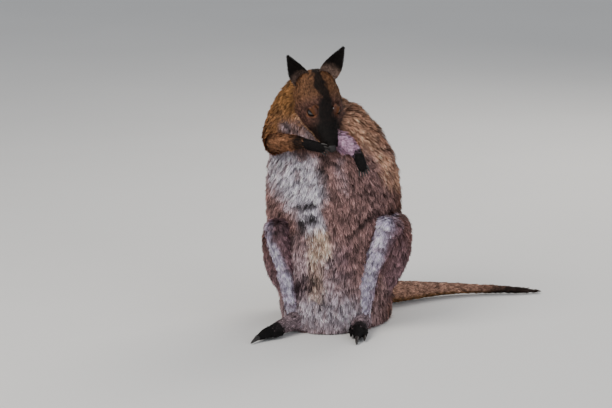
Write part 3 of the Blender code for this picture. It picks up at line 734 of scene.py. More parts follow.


# Some of these marks are painted light: the near-black fold, jaw and parting lines, chest_shadow and the groin
# patch are painted shadow, and the gold shoulder ridge carries a painted highlight.
MARKS: tuple[Mark, ...] = (
    Mark("shoulder_gold", ((-0.132, 0.400), (-0.144, 0.356)), 0.03, 0.02, Tone.RUFOUS, 0.75),
    Mark("jaw_fold", ((-0.099, 0.386), (-0.069, 0.370), (-0.038, 0.360)), 0.011, 0.008, Tone.PALE, 0.85),
    # Painted shadow: a thin near-black line in the fold between the cheek and the throat.
    Mark("jaw_fold_dark", ((-0.104, 0.396), (-0.079, 0.380)), 0.004, 0.004, Tone.DARK, 0.8),
    Mark(
        "chest_white",
        ((-0.102, 0.310), (-0.069, 0.292), (-0.053, 0.260)),
        0.034,
        0.016,
        Tone.WHITE,
        0.95,
        ("trunk",),
    ),
    Mark(
        "chest_white_low",
        ((-0.100, 0.272), (-0.071, 0.235), (-0.041, 0.191)),
        0.018,
        0.013,
        Tone.WHITE,
        0.85,
        ("trunk",),
    ),
    Mark("chest_white_right", ((0.006, 0.316), (0.014, 0.256)), 0.008, 0.008, Tone.PALE, 0.6, ("trunk",)),
    Mark("midline_white", ((-0.045, 0.225), (-0.033, 0.191)), 0.012, 0.008, Tone.WHITE, 0.7, ("trunk",)),
    # Painted shade: near-black partings between the chest's locks.
    Mark("parting_high", ((-0.071, 0.223), (-0.045, 0.230)), 0.0075, 0.006, Tone.DARK, 0.95, ("trunk",)),
    Mark("parting_mid", ((-0.063, 0.196), (-0.041, 0.203)), 0.007, 0.006, Tone.DARK, 0.95, ("trunk",)),
    Mark("parting_low", ((-0.099, 0.157), (-0.062, 0.181)), 0.010, 0.008, Tone.DARK, 0.85, ("trunk",)),
    Mark("chest_shadow", ((-0.024, 0.322), (-0.022, 0.270)), 0.010, 0.009, Tone.DARK, 0.7),
    Mark(
        "belly_grey",
        ((-0.045, 0.110), (-0.026, 0.034), (0.000, 0.010)),
        0.052,
        0.034,
        Tone.PALE,
        0.85,
        ("trunk",),
    ),
    Mark(
        "belly_pale",
        ((-0.065, 0.010), (-0.026, 0.022), (0.020, 0.010)),
        0.030,
        0.022,
        Tone.WHITE,
        0.5,
        ("trunk",),
    ),
    Mark("pouch_cream", ((-0.034, 0.168), (-0.030, 0.140)), 0.016, 0.012, Tone.CREAM, 1.0, ("trunk",)),
    Mark(
        "pouch_tail",
        ((-0.037, 0.139), (-0.039, 0.099), (-0.037, 0.050)),
        0.011,
        0.010,
        Tone.CREAM,
        0.75,
        ("trunk",),
    ),
    Mark("chest_dark_side", ((-0.110, 0.215), (-0.118, 0.170)), 0.012, 0.010, Tone.DARK, 0.6),
    # Painted shadow in the crease between the belly and the right leg.
    Mark("groin_dark", ((-0.079, 0.064), (-0.051, 0.080)), 0.018, 0.014, Tone.MAUVE_DARK, 0.95, ("trunk",)),
    Mark("belly_right_dark", ((0.020, 0.140), (0.012, 0.100)), 0.014, 0.012, Tone.MAUVE, 0.7),
    Mark(
        "shin_white_right",
        ((-0.140, 0.199), (-0.134, 0.159), (-0.110, 0.107), (-0.097, 0.058), (-0.087, 0.006)),
        0.011,
        0.007,
        Tone.LAVENDER,
        0.95,
        ("shin",),
    ),
    Mark(
        "shin_white_left",
        ((0.100, 0.207), (0.081, 0.159), (0.065, 0.111), (0.051, 0.058), (0.043, 0.002)),
        0.016,
        0.009,
        Tone.LAVENDER,
        0.95,
        ("thigh", "shin"),
    ),
    # Painted shadow: a thin near-black line along the fold where the left thigh meets the belly.
    Mark(
        "thigh_fold",
        ((0.020, 0.167), (0.045, 0.191), (0.069, 0.211), (0.095, 0.223), (0.120, 0.225)),
        0.004,
        0.004,
        Tone.DARK,
        0.85,
    ),
    Mark("thigh_low", ((0.112, 0.155), (0.124, 0.111), (0.114, 0.050)), 0.02, 0.014, Tone.MAUVE, 0.7),
    # Gold shoulder fur, lightened here into a painted highlight along the lit ridge of the shoulder.
    Mark("back_gold", ((0.033, 0.396), (0.073, 0.340), (0.112, 0.280)), 0.016, 0.016, Tone.GOLD, 0.8),
)


@dataclass
class Markings:
    """The colour of the coat at any point of the hide."""

    lean: float = 0.2126

    def colours(self, hide: Hide) -> Array:
        """The coat's colour at each point: a ground for each part, then the markings over it."""
        points = hide.points
        ragged = np.stack([lattice_noise(points, 0.011, seed) for seed in (1, 2, 3)], axis=1) * 0.0035
        ragged += np.stack([lattice_noise(points, 0.028, seed) for seed in (4, 5, 6)], axis=1) * 0.005
        moved = points + ragged
        made = np.zeros((len(points), 3))
        for number, name in enumerate(hide.names):
            here = hide.part == number
            if here.any():
                own = (moved[here], hide.normals[here], hide.share[here], hide.turn[here])
                made[here] = self.ground(name, *own)
        front = smoothstep(-0.10, 0.35, hide.normals @ np.array((0.0, -0.978, 0.208)))
        spots = np.stack([moved[:, 0], moved[:, 2] + self.lean * moved[:, 1]], axis=1)
        broken = 1.0 - 0.55 * smoothstep(0.05, 0.6, lattice_noise(moved, 0.010, 9)) * (spots[:, 1] < 0.40)
        for mark in MARKS:
            worn = np.array([pelt_of(name) in mark.wearers for name in hide.names])[hide.part]
            made = self.over(made, mark.tone, mark.weight(spots, front) * broken * worn)
        return made

    @staticmethod
    def over(ground: Array, tone: Tone, weight: Array) -> Array:
        """A tone laid over a ground by weight."""
        return ground + weight[:, None] * (tone.linear - ground)

    def ground(self, name: str, points: Array, normals: Array, share: Array, turn: Array) -> Array:
        """The ground colour of one part."""
        kind = pelt_of(name)
        maker: dict[str, Callable[..., Array]] = {
            "trunk": self.trunk,
            "neck": self.neck,
            "head": self.head,
            "tail": self.tail,
            "foot": self.foot,
            "forearm": self.forearm,
            "shin": self.shin,
        }
        if kind in maker:
            return maker[kind](name, points, normals, share, turn)
        plain = {
            "upper_arm": Tone.FOREARM,
            "thigh": Tone.MAUVE,
            "toe": Tone.BLACK,
            "paw": Tone.BLACK,
            "ear": Tone.EAR_BLACK,
        }[kind]
        made = np.tile(plain.linear, (len(points), 1))
        if kind == "thigh":
            made = self.over(made, Tone.BACK, 0.7 * smoothstep(0.08, 0.20, points[:, 2]))
        if kind == "upper_arm":
            made = self.over(made, Tone.BACK, 0.8 * (1.0 - smoothstep(0.1, 0.6, share)))
        if kind == "ear":
            inner = smoothstep(0.3, 0.8, turn)
            made = self.over(made, Tone.EAR_PALE, 0.8 * inner * (1.0 - smoothstep(0.16, 0.46, share)))
        return made

    def trunk(self, name: str, points: Array, normals: Array, share: Array, turn: Array) -> Array:
        """Grizzled brown on the back, greyer below, paler on the belly."""
        made = np.tile(Tone.BACK.linear, (len(points), 1))
        front = smoothstep(-0.25, 0.55, normals @ FACING)
        made = self.over(made, Tone.GREY_BROWN, front)
        made = self.over(made, Tone.PALE, 0.45 * front * (1.0 - smoothstep(0.02, 0.14, points[:, 2])))
        made = self.over(made, Tone.RUFOUS, 0.55 * smoothstep(0.33, 0.40, points[:, 2]))
        return made

    def neck(self, name: str, points: Array, normals: Array, share: Array, turn: Array) -> Array:
        """Rufous over the nape and shoulders, pale on the throat."""
        made = np.tile(Tone.BACK.linear, (len(points), 1))
        made = self.over(made, Tone.RUFOUS, smoothstep(0.36, 0.45, points[:, 2]))
        throat = smoothstep(0.35, 0.8, normals @ np.array((0.15, -0.97, -0.15)))
        low = 1.0 - smoothstep(0.38, 0.43, points[:, 2])
        return self.over(made, Tone.CHIN, 0.85 * throat * low)

    def head(self, name: str, points: Array, normals: Array, share: Array, turn: Array) -> Array:
        """A dark stripe down the face, orange at the eyes, a pale line along the lip and a pale chin."""
        along, side, up = HEAD.local(points)
        made = np.tile(Tone.FACE.linear, (len(points), 1))
        made = self.over(made, Tone.FOREHEAD, 0.9 * (1.0 - smoothstep(0.030, 0.062, along)))
        wide = np.interp(along, (0.0, 0.03, 0.06, 0.09, 0.16), (0.009, 0.011, 0.014, 0.019, 0.034))
        top = smoothstep(-0.2, 0.4, normals @ HEAD.up)
        ragged = np.abs(side + 0.004 * lattice_noise(points, 0.009, 8)) / wide
        made = self.over(made, Tone.FACE_DARK, 0.95 * top * (1.0 - smoothstep(0.55, 1.35, ragged)))
        made = self.over(made, Tone.FACE_DARK, 0.75 * smoothstep(0.078, 0.112, along))
        eye = np.sqrt(((along - 0.073) / 0.014) ** 2 + ((np.abs(side) - 0.0225) / 0.0080) ** 2)
        made = self.over(made, Tone.EYE_PATCH, 0.7 * (1.0 - smoothstep(0.6, 1.2, eye)))
        depth = np.interp(along, (0.05, 0.10, 0.13, 0.15), (-0.062, -0.043, -0.031, -0.022))
        lip = np.abs(up - depth)
        behind = smoothstep(0.045, 0.06, along)
        made = self.over(made, Tone.LIP, 0.9 * (1.0 - smoothstep(0.0018, 0.0042, lip)) * behind)
        made = self.over(made, Tone.CHIN, 0.95 * smoothstep(0.002, 0.010, depth - up))
        return made

    def tail(self, name: str, points: Array, normals: Array, share: Array, turn: Array) -> Array:
        """Grizzled above, ochre beneath, and dark toward the tip."""
        made = np.tile(Tone.TAIL.linear, (len(points), 1))
        made = self.over(made, Tone.TAIL_UNDER, smoothstep(0.15, 0.65, -normals[:, 2]))
        toward_tip = smoothstep(0.27, 0.36, points[:, 0] - normals[:, 2] * 0.015)
        return self.over(made, Tone.BLACK, 0.94 * toward_tip)

    def foot(self, name: str, points: Array, normals: Array, share: Array, turn: Array) -> Array:
        """Pale grey, black toward the toes."""
        made = np.tile(Tone.FOOT.linear, (len(points), 1))
        made = self.over(made, Tone.PALE, np.full(len(share), 0.8 if name.endswith("left") else 0.5))
        return self.over(made, Tone.BLACK, 0.95 * smoothstep(0.80, 0.90, share))

    def forearm(self, name: str, points: Array, normals: Array, share: Array, turn: Array) -> Array:
        """Golden brown outside; pale and pinkish on the inner side of the left one."""
        made = np.tile(Tone.FOREARM.linear, (len(points), 1))
        if name.endswith("left"):
            inner = smoothstep(-0.1, 0.4, normals @ np.array((-0.3, -0.9, 0.1)))
            made = self.over(made, Tone.INNER_ARM, inner)
        dark = (0.55, 0.85) if name.endswith("right") else (0.86, 0.98)
        return self.over(made, Tone.BLACK, 0.9 * smoothstep(*dark, share))

    def shin(self, name: str, points: Array, normals: Array, share: Array, turn: Array) -> Array:
        """Mauve grey, paler toward the foot."""
        made = np.tile(Tone.MAUVE.linear, (len(points), 1))
        return self.over(made, Tone.PALE, 0.6 * smoothstep(0.75, 0.95, share))


# ---------------------------------------------------------------- meshes
class Slot(Enum):
    """The record's material slots."""

    FACE = "coat_face"
    NECK = "coat_neck"
    EAR = "coat_ear"
    CHEST = "coat_chest"
    BELLY = "coat_belly"
    BACK = "coat_back"
    SHIN = "coat_shin"
    ARM = "coat_arm"
    FOOT = "coat_foot"
    TAIL = "coat_tail"
    PAW = "paw_black"
    NOSE = "nose_skin"
    EYE = "eye_glass"
    CLAW = "claw_horn"


@dataclass
class Faces:
    """Corner numbers of many faces in one row, and where each face starts in it."""

    corners: Array
    starts: Array

    @staticmethod
    def of(*groups: Array) -> "Faces":
        """Faces from groups of equal ones, each group an array of one face a row."""
        groups = tuple(group for group in groups if len(group))
        sizes = np.concatenate([np.full(len(group), group.shape[1]) for group in groups])
        starts = np.concatenate([[0], np.cumsum(sizes)[:-1]])
        return Faces(np.concatenate([group.ravel() for group in groups]), starts)


def make_mesh(name: str, points: Array, faces: Faces, smooth: bool = True) -> bpy.types.Object:
    """A mesh object from arrays."""
    mesh = bpy.data.meshes.new(name)
    mesh.vertices.add(len(points))
    mesh.vertices.foreach_set("co", np.asarray(points, np.float32).ravel())
    mesh.loops.add(len(faces.corners))
    mesh.loops.foreach_set("vertex_index", faces.corners.astype(np.int32))
    mesh.polygons.add(len(faces.starts))
    mesh.polygons.foreach_set("loop_start", faces.starts.astype(np.int32))
    mesh.update(calc_edges=True)
    mesh.validate()
    mesh.polygons.foreach_set("use_smooth", np.full(len(mesh.polygons), smooth))
    piece = bpy.data.objects.new(name, mesh)
    bpy.context.scene.collection.objects.link(piece)
    return piece


def colour_points(piece: bpy.types.Object, name: str, colours: Array) -> None:
    """Gives each vertex a colour in a named attribute."""
    layer = piece.data.attributes.new(name, "FLOAT_COLOR", "POINT")
    rows = np.column_stack([colours, np.ones(len(colours))]).astype(np.float32)
    layer.data.foreach_set("color", rows.ravel())


def map_corners(piece: bpy.types.Object, places: Array) -> None:
    """Gives each face corner its place on the bake's map."""
    layer = piece.data.uv_layers.new(name="OFBake")
    layer.data.foreach_set("uv", np.clip(places, 0.0, 1.0).astype(np.float32).ravel())


def tube_faces(rings: int, sides: int) -> tuple[Array, Array]:
    """Quads between rings of points, and triangles that close both ends on two last points."""
    ring, side = np.meshgrid(np.arange(rings - 1), np.arange(sides), indexing="ij")
    ring, side = ring.ravel(), side.ravel()
    after = (side + 1) % sides
    low, high = ring * sides, (ring + 1) * sides
    quads = np.stack([low + side, low + after, high + after, high + side])
    here, there = np.arange(sides), (np.arange(sides) + 1) % sides
    first = np.stack([there, here, np.full(sides, rings * sides)])
    last = np.stack([here, there, np.full(sides, rings * sides + 1)])
    last[:2] += (rings - 1) * sides
    return quads.T, np.concatenate([first.T, last.T])


def place_piece(piece: bpy.types.Object, nodes: Sequence[str]) -> None:
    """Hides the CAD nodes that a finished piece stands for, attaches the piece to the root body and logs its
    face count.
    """
    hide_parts(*nodes)
    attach(piece, "root")
    LOG.info("%s: %d faces", piece.name, len(piece.data.polygons))


# ---------------------------------------------------------------- materials
class Socket:
    """A value in a node tree, with sums and products as nodes."""

    def __init__(self, tree: "Tree", socket: Any) -> None:
        self.tree = tree
        self.socket = socket

    def maths(self, kind: str, other: Any, swap: bool = False) -> "Socket":
        """A Math node on this value and another."""
        pair = (other, self) if swap else (self, other)
        return self.tree.node("ShaderNodeMath", {"operation": kind}, dict(enumerate(pair)))

    def __add__(self, other: Any) -> "Socket":
        return self.maths("ADD", other)

    def __radd__(self, other: Any) -> "Socket":
        return self.maths("ADD", other, True)

    def __sub__(self, other: Any) -> "Socket":
        return self.maths("SUBTRACT", other)

    def __rsub__(self, other: Any) -> "Socket":
        return self.maths("SUBTRACT", other, True)

    def __mul__(self, other: Any) -> "Socket":
        return self.maths("MULTIPLY", other)

    def __rmul__(self, other: Any) -> "Socket":
        return self.maths("MULTIPLY", other, True)


class Tree:
    """A material's node tree under construction."""

    def __init__(self, name: str) -> None:
        self.material = bpy.data.materials.new(name)
        self.material.use_nodes = True
        self.nodes = self.material.node_tree.nodes
        self.links = self.material.node_tree.links
        self.shader = self.nodes["Principled BSDF"]

    def node(self, kind: str, settings: dict[str, Any], inputs: dict[Any, Any], output: Any = 0) -> Socket:
        """Adds a node: its settings are made first, then each input is linked or set."""
        made = self.nodes.new(kind)
        for key, value in settings.items():
            setattr(made, key, value)
        for key, value in inputs.items():
            self.feed(made.inputs[key], value)
        return Socket(self, made.outputs[output])

    def feed(self, target: Any, value: Any) -> None:
        """Links a socket to an input, or sets the input to a plain value."""
        if isinstance(value, Socket):
            self.links.new(value.socket, target)
        else:
            target.default_value = value

    def place(self) -> Socket:
        """The object's own coordinates."""
        return self.node("ShaderNodeTexCoord", {}, {}, "Object")

    def noise(self, scale: float, detail: float = 3.0, rough: float = 0.55) -> Socket:
        """Noise from 0 to 1 in the object's coordinates."""
        given = {"Vector": self.place(), "Scale": scale, "Detail": detail, "Roughness": rough}
        return self.node("ShaderNodeTexNoise", {}, given, "Fac")

    def attribute(self, name: str) -> Socket:
        """A colour kept on the piece's vertices."""
        return self.node("ShaderNodeAttribute", {"attribute_name": name}, {}, "Color")

    def between(self, share: Any, low: Any, high: Any) -> Socket:
        """A colour between two colours."""
        return self.node("ShaderNodeMix", {"data_type": "RGBA"}, {0: share, 6: low, 7: high}, 2)

    def times(self, colour: Any, other: Any) -> Socket:
        """One colour times another."""
        given = {0: 1.0, 6: colour, 7: other}
        return self.node("ShaderNodeMix", {"data_type": "RGBA", "blend_type": "MULTIPLY"}, given, 2)

    def span(self, value: Socket, low: float, high: float, to_low: float, to_high: float) -> Socket:
        """A value carried from one range to another."""
        return self.node("ShaderNodeMapRange", {}, {0: value, 1: low, 2: high, 3: to_low, 4: to_high})

    def bump(self, height: Socket, strength: float, distance: float) -> Socket:
        """A surface raised by a height."""
        return self.node("ShaderNodeBump", {}, {"Height": height, "Strength": strength, "Distance": distance})

    def finish(self, **inputs: Any) -> bpy.types.Material:
        """Feeds the surface's inputs, named with _ for spaces, and gives the material."""
        for key, value in inputs.items():
            self.feed(self.shader.inputs[key.replace("_", " ").title().replace("Ior", "IOR")], value)
        return self.material


@dataclass(frozen=True)
class Fur:
    """Matt hair that takes its colour from the piece."""

    name: str
    attribute: str
    roughness: float = 0.72
    mottle: float = 0.32
    grain: float = 900.0
    bump: float = 0.0

    def material(self) -> bpy.types.Material:
        """The colour on the vertices, varied by broad and fine noise."""
        tree = Tree(self.name)
        broad = tree.noise(38.0, 3.0)
        fine = tree.noise(self.grain, 2.0)
        shade = tree.span(broad * 0.6 + fine * 0.4, 0.3, 0.7, 1.0 - self.mottle, 1.0 + self.mottle)
        grey = tree.node("ShaderNodeCombineColor", {}, {0: shade, 1: shade, 2: shade})
        inputs: dict[str, Any] = {
            "base_color": tree.times(tree.attribute(self.attribute), grey),
            "roughness": tree.span(fine, 0.3, 0.7, self.roughness - 0.08, self.roughness + 0.08),
            "specular_ior_level": 0.22,
        }
        if self.bump > 0:
            inputs["normal"] = tree.bump(fine, self.bump, 0.0012)
        return tree.finish(**inputs)


@dataclass(frozen=True)
class EyeGlass:
    """A dark brown iris round a black pupil under a wet clear front."""

    iris: tuple[float, float, float, float] = (0.016, 0.006, 0.003, 1.0)
    dark: tuple[float, float, float, float] = (0.002, 0.0015, 0.0015, 1.0)

    def material(self) -> bpy.types.Material:
        """The iris shows where the piece's own colour says, streaked by fine noise."""
        tree = Tree("eye glass")
        ring = tree.node("ShaderNodeSeparateColor", {}, {0: tree.attribute("ring")})
        streak = tree.span(tree.noise(1500.0), 0.35, 0.65, 0.55, 1.0)
        rough = tree.span(tree.noise(200.0), 0.3, 0.7, 0.03, 0.06)
        base = tree.between(ring * streak, self.dark, self.iris)
        return tree.finish(base_color=base, roughness=rough, coat_weight=1.0, coat_roughness=0.02)


@dataclass(frozen=True)
class NoseLeather:
    """Black pebbled skin with a soft wet shine."""

    # dark is painted shade in the cracks between the pebbles, light the pebble tops.
    dark: tuple[float, float, float, float] = (0.008, 0.006, 0.006, 1.0)
    light: tuple[float, float, float, float] = (0.010, 0.008, 0.008, 1.0)

    def material(self) -> bpy.types.Material:
        """Small pebbles raise the surface; the cracks between them are painted a little darker as shade."""
        tree = Tree("nose leather")
        pebble = tree.node("ShaderNodeTexVoronoi", {}, {"Vector": tree.place(), "Scale": 1100.0}, "Distance")
        height = 1.0 - pebble
        base = tree.between(tree.span(height, 0.2, 0.9, 0.0, 1.0), self.dark, self.light)
        rough = tree.span(tree.noise(240.0), 0.3, 0.7, 0.50, 0.66)
        return tree.finish(base_color=base, roughness=rough, normal=tree.bump(height, 0.5, 0.0004))


@dataclass(frozen=True)
class Horn:
    """Dark horn, lighter and duller in streaks."""

    dark: tuple[float, float, float, float] = (0.010, 0.008, 0.007, 1.0)
    light: tuple[float, float, float, float] = (0.034, 0.026, 0.022, 1.0)

    def material(self) -> bpy.types.Material:
        """Streaks of noise between the two horn colours."""
        tree = Tree("claw horn")
        streak = tree.noise(420.0, 4.0)
        base = tree.between(tree.span(streak, 0.4, 0.75, 0.0, 1.0), self.dark, self.light)
        rough = tree.span(streak, 0.3, 0.7, 0.28, 0.5)
        return tree.finish(base_color=base, roughness=rough, normal=tree.bump(streak, 0.25, 0.0003))


@dataclass(frozen=True)
class PaleFloor:
    """A plain pale studio floor."""

    light: tuple[float, float, float, float] = (0.80, 0.79, 0.77, 1.0)
    dark: tuple[float, float, float, float] = (0.75, 0.74, 0.72, 1.0)

    def material(self) -> bpy.types.Material:
        """Two near tones in broad, faint noise."""
        tree = Tree("pale floor")
        cloud = tree.noise(2.0)
        base = tree.between(cloud, self.dark, self.light)
        return tree.finish(base_color=base, roughness=tree.span(cloud, 0.3, 0.7, 0.8, 0.9))


# ---------------------------------------------------------------- eyes, nose and claws
@dataclass
class EyeBall:
    """An eye: a wet ball, deep in the head, that looks to the side and a little forward."""

    side: str
    along: float = 0.074
    radius: float = 0.0105
    slant: float = math.radians(25.0)
    sunk: float = 0.0066
    rings: int = 40
    sides: int = 56

    @property
    def sign(self) -> float:
        """Plus for the animal's left eye."""
        return 1.0 if self.side == "left" else -1.0

    @property
    def look(self) -> Array:
        """The way the eye looks."""
        return unit(HEAD.side * 0.86 * self.sign + HEAD.up * 0.42 + HEAD.way * 0.20)

    @property
    def centre(self) -> Array:
        """The ball's middle, sunk into the head from where it would bulge."""
        return HEAD.place(self.along, 0.0275 * self.sign, -0.0150) - self.look * self.sunk

    @property
    def frame(self) -> tuple[Array, Array]:
        """Along the slit toward the nose, and up across it."""
        along = unit(HEAD.way - HEAD.way @ self.look * self.look)
        up = unit(np.cross(self.look, along) * self.sign)
        up = up if up @ HEAD.up > 0 else -up
        level, lean = math.cos(self.slant), math.sin(self.slant)
        return along * level + up * lean, up * level - along * lean

    @staticmethod
    def sockets() -> list[tuple[Array, float]]:
        """Middles and radii of the hollows that hold the eyes."""
        return [(eye.centre, eye.radius + 0.0004) for eye in (EyeBall("right"), EyeBall("left"))]

    def build(self) -> None:
        """A ball of rings round the way it looks, with a colour that marks the iris between two angles."""
        along, up = self.frame
        angle = np.linspace(0.0, math.pi, self.rings + 2)[1:-1]
        turn = np.arange(self.sides) / self.sides * 2 * math.pi
        flat = np.cos(turn)[:, None] * along + np.sin(turn)[:, None] * up * self.sign
        bulge = 1.0 + 0.045 * (1.0 - smoothstep(0.35, 0.85, angle))
        rows = np.cos(angle)[:, None, None] * self.look + np.sin(angle)[:, None, None] * flat
        points = self.centre + self.radius * bulge[:, None, None] * rows
        ends = self.centre + self.radius * np.array((1.045, -1.0))[:, None] * self.look
        quads, caps = tube_faces(self.rings, self.sides)
        spots = np.concatenate([points.reshape(-1, 3), ends])
        piece = make_mesh(f"eye_ball_{self.side}", spots, Faces.of(quads, caps))
        ring = smoothstep(0.36, 0.42, angle) * (1.0 - smoothstep(0.95, 1.08, angle))
        ring = np.concatenate([np.repeat(ring, self.sides), [0.0, 0.0]])
        colour_points(piece, "ring", np.repeat(ring[:, None], 3, axis=1))
        piece.data.materials.append(EyeGlass().material())
        place_piece(piece, [f"eye_{self.side}"])


@dataclass
class Lids:
    """The rim of skin round an eye: it opens in an almond that is wider than it is tall."""

    eye: EyeBall
    wide: float = math.radians(56.0)
    upper: float = math.radians(14.0)
    lower: float = math.radians(26.0)
    outer: float = math.radians(88.0)
    swell: float = 0.0013
    ripple: float = 0.0006
    crease: float = 0.35
    sides: int = 72
    rows: int = 12

    def hide(self) -> Hide:
        """Rings from the almond's edge outward over a fold, and back beneath.

        The edge's angle at each turn is 1 / sqrt((cos / wide)^2 + (sin / tall)^2).
        """
        along, up = self.eye.frame
        turn = np.arange(self.sides) / self.sides * 2 * math.pi
        tall = np.where(np.sin(turn) > 0, self.upper, self.lower)
        edge = 1.0 / np.sqrt((np.cos(turn) / self.wide) ** 2 + (np.sin(turn) / tall) ** 2)
        share = np.concatenate([np.linspace(0.0, 1.0, self.rows), np.linspace(1.0, 0.0, self.rows)[:-1]])
        over = np.concatenate([np.ones(self.rows), np.zeros(self.rows - 1)])
        fold = self.swell * np.sin(np.clip(share / self.crease, 0, 1) * math.pi / 2)
        fold += self.ripple * np.sin(share * 9.0) * (share > self.crease)
        radius = self.eye.radius * 1.012 + over * (0.0004 + fold) - (1 - over) * 0.0002 * share
        radius = radius * (1.0 + 0.035 * (1.0 - smoothstep(0.0, 0.4, share)))
        angle = edge[None, :] + share[:, None] * (self.outer - edge[None, :])
        flat = np.cos(turn)[:, None] * along + np.sin(turn)[:, None] * up
        points = np.cos(angle)[..., None] * self.eye.look + np.sin(angle)[..., None] * flat[None]
        points = self.eye.centre + radius[:, None, None] * points
        rings = len(share)
        number = np.arange(rings * self.sides).reshape(rings, self.sides)
        number = np.vstack([number, number[:1]])
        after = np.roll(number, -1, axis=1)
        quads = np.stack([number[:-1], number[1:], after[1:], after[:-1]], axis=-1).reshape(-1, 4)
        if self.eye.sign > 0:
            quads = quads[:, ::-1]
        flat_points = points.reshape(-1, 3)
        out = unit(flat_points - self.eye.centre)
        size = len(flat_points)
        return Hide(
            [f"head_lid_{self.eye.side}"],
            flat_points,
            quads,
            out,
            np.tile(-HEAD.way, (size, 1)),
            np.zeros(size, int),
            np.repeat(np.arange(rings) / rings, self.sides),
            np.tile(turn - math.pi, rings),
        )


@dataclass
class Ear:
    """An ear: a cupped leaf, open to the front."""

    side: str
    base: Triple
    tip: Triple
    opening: Triple
    thick: float = 0.0024
    splay: float = 0.35
    rings: int = 40
    half_sides: int = 20
    levels: tuple[tuple[float, float, float], ...] = (
        (0.0, 0.018, 0.013),
        (0.2, 0.021, 0.0125),
        (0.4, 0.0195, 0.0105),
        (0.6, 0.015, 0.0075),
        (0.8, 0.009, 0.004),
        (1.0, 0.0024, 0.0008),
    )

    def hide(self) -> Hide:
        """Outer and inner faces of the cup, met along a rounded rim.

        A point at share s and place q from -1 to 1 across is base + way s + side half q - front cup (1/2 - q^2).
        The two faces stand half the thickness to either side, thinned to the rim by sqrt(1 - q^4).
        """
        base, tip = np.asarray(self.base, float), np.asarray(self.tip, float)
        reach = tip - base
        way = unit(reach)
        front = unit(np.asarray(self.opening) - np.dot(self.opening, way) * way)
        side = np.cross(way, front)
        share = np.linspace(-0.10, 0.985, self.rings)
        levels = np.asarray(self.levels)
        half = np.interp(share, levels[:, 0], levels[:, 1]) - 0.0012
        half = np.convolve(np.pad(half, 3, mode="edge"), np.ones(7) / 7, mode="valid")
        cup = np.interp(share, levels[:, 0], levels[:, 2])
        across = np.sin(np.linspace(-math.pi / 2, math.pi / 2, self.half_sides + 1))
        q = np.concatenate([across, across[::-1][1:-1]])
        face = np.concatenate([-np.ones(self.half_sides + 1), np.ones(self.half_sides - 1)])
        face[[0, self.half_sides]] = 0.0
        thin = np.sqrt(np.maximum(1.0 - q**4, 0.0))
        depth = -cup[:, None] * (0.5 - q**2) + face * thin * self.thick / 2
        roll = 0.0016 * (q**4) * np.sin(share[:, None] * math.pi)
        points = base + reach * share[:, None, None] + side * (half[:, None] * q)[..., None]
        points = points + front * (depth + roll)[..., None]
        sides = len(q)
        ends = points[[0, -1]].mean(axis=1)
        quads, caps = tube_faces(self.rings, sides)
        quads = np.concatenate([quads, caps[:, [0, 1, 2, 2]]])
        flat = np.concatenate([points.reshape(-1, 3), ends])
        normals = corner_normals(flat, quads)
        spread = np.concatenate([np.repeat(share, sides), [share[0], share[-1]]])
        inside = np.concatenate([np.tile((face > 0).astype(float), self.rings), [0.0, 0.0]])
        spread_out = np.concatenate([np.tile(q, self.rings), [0, 0]]) * self.splay
        lie = np.tile(way, (len(flat), 1)) + side * spread_out[:, None]
        part = np.zeros(len(flat), int)
        return Hide([f"ear_{self.side}"], flat, quads, normals, unit(lie), part, spread, inside)


def corner_normals(points: Array, quads: Array) -> Array:
    """Normals at the points, each the sum of the faces around it."""
    corners = points[quads]
    ways = np.cross(corners[:, 2] - corners[:, 0], corners[:, 3] - corners[:, 1])
    spread = np.repeat(ways, 4, axis=0)
    total = [np.bincount(quads.ravel(), spread[:, axis], minlength=len(points)) for axis in range(3)]
    return unit(np.stack(total, axis=1))


EARS = (
    Ear("right", (-0.061, -0.030, 0.484), (-0.0945, -0.060, 0.5415), (-0.30, -0.90, 0.20)),
    Ear("left", (-0.0195, -0.034, 0.498), (0.0145, -0.062, 0.5590), (0.25, -0.95, 0.15)),
)


@dataclass
class Nose:
    """The bare black pad at the end of the muzzle, with two nostrils and a groove between them."""

    along: float = 0.1525
    up: float = -0.0125
    half: tuple[float, float, float] = (0.0080, 0.0085, 0.0070)
    rings: int = 60
    sides: int = 80

    def build(self) -> None:
        """A rounded box of rings, pressed in at the nostrils and along the middle."""
        angle = np.linspace(0.0, math.pi, self.rings + 2)[1:-1, None]
        turn = (np.arange(self.sides) / self.sides * 2 * math.pi)[None, :]
        raw = [np.cos(angle) + 0 * turn, np.sin(angle) * np.cos(turn), np.sin(angle) * np.sin(turn)]
        shaped = np.stack([np.sign(part) * np.abs(part) ** 0.86 for part in raw], axis=-1).reshape(-1, 3)
        shaped = np.concatenate([shaped, [(1.0, 0.0, 0.0), (-1.0, 0.0, 0.0)]])
        way, side, up = shaped.T
        front = smoothstep(-0.3, 0.5, way)
        press = np.zeros(len(shaped))
        for sign in (-1.0, 1.0):
            slit = ((side * sign - 0.52 - 0.25 * np.maximum(up, 0)) / 0.20) ** 2 + ((up + 0.12) / 0.26) ** 2
            press += 0.42 * np.exp(-slit * 1.6) * front
            flare = ((side * sign - 0.80) / 0.20) ** 2 + ((up + 0.10) / 0.4) ** 2
            press -= 0.05 * np.exp(-flare) * front
        press += 0.12 * np.exp(-((side / 0.07) ** 2)) * front * smoothstep(0.35, -0.2, up)
        shaped = shaped * (1.0 - press)[:, None]
        offset = shaped * np.asarray(self.half)
        axes = np.stack([HEAD.way, HEAD.side, HEAD.up])
        points = HEAD.place(self.along, 0.0, self.up) + offset @ axes
        quads, caps = tube_faces(self.rings, self.sides)
        piece = make_mesh("nose_pad", points, Faces.of(quads[:, ::-1], caps[:, ::-1]))
        piece.data.materials.append(NoseLeather().material())
        place_piece(piece, ["nose"])

    def holds(self, points: Array) -> Array:
        """Whether points lie in the pad."""
        along, side, up = HEAD.local(points)
        offset = np.stack([along - self.along, side, up - self.up], axis=-1) / (np.asarray(self.half) * 0.97)
        return np.linalg.norm(offset, axis=-1) < 1.0


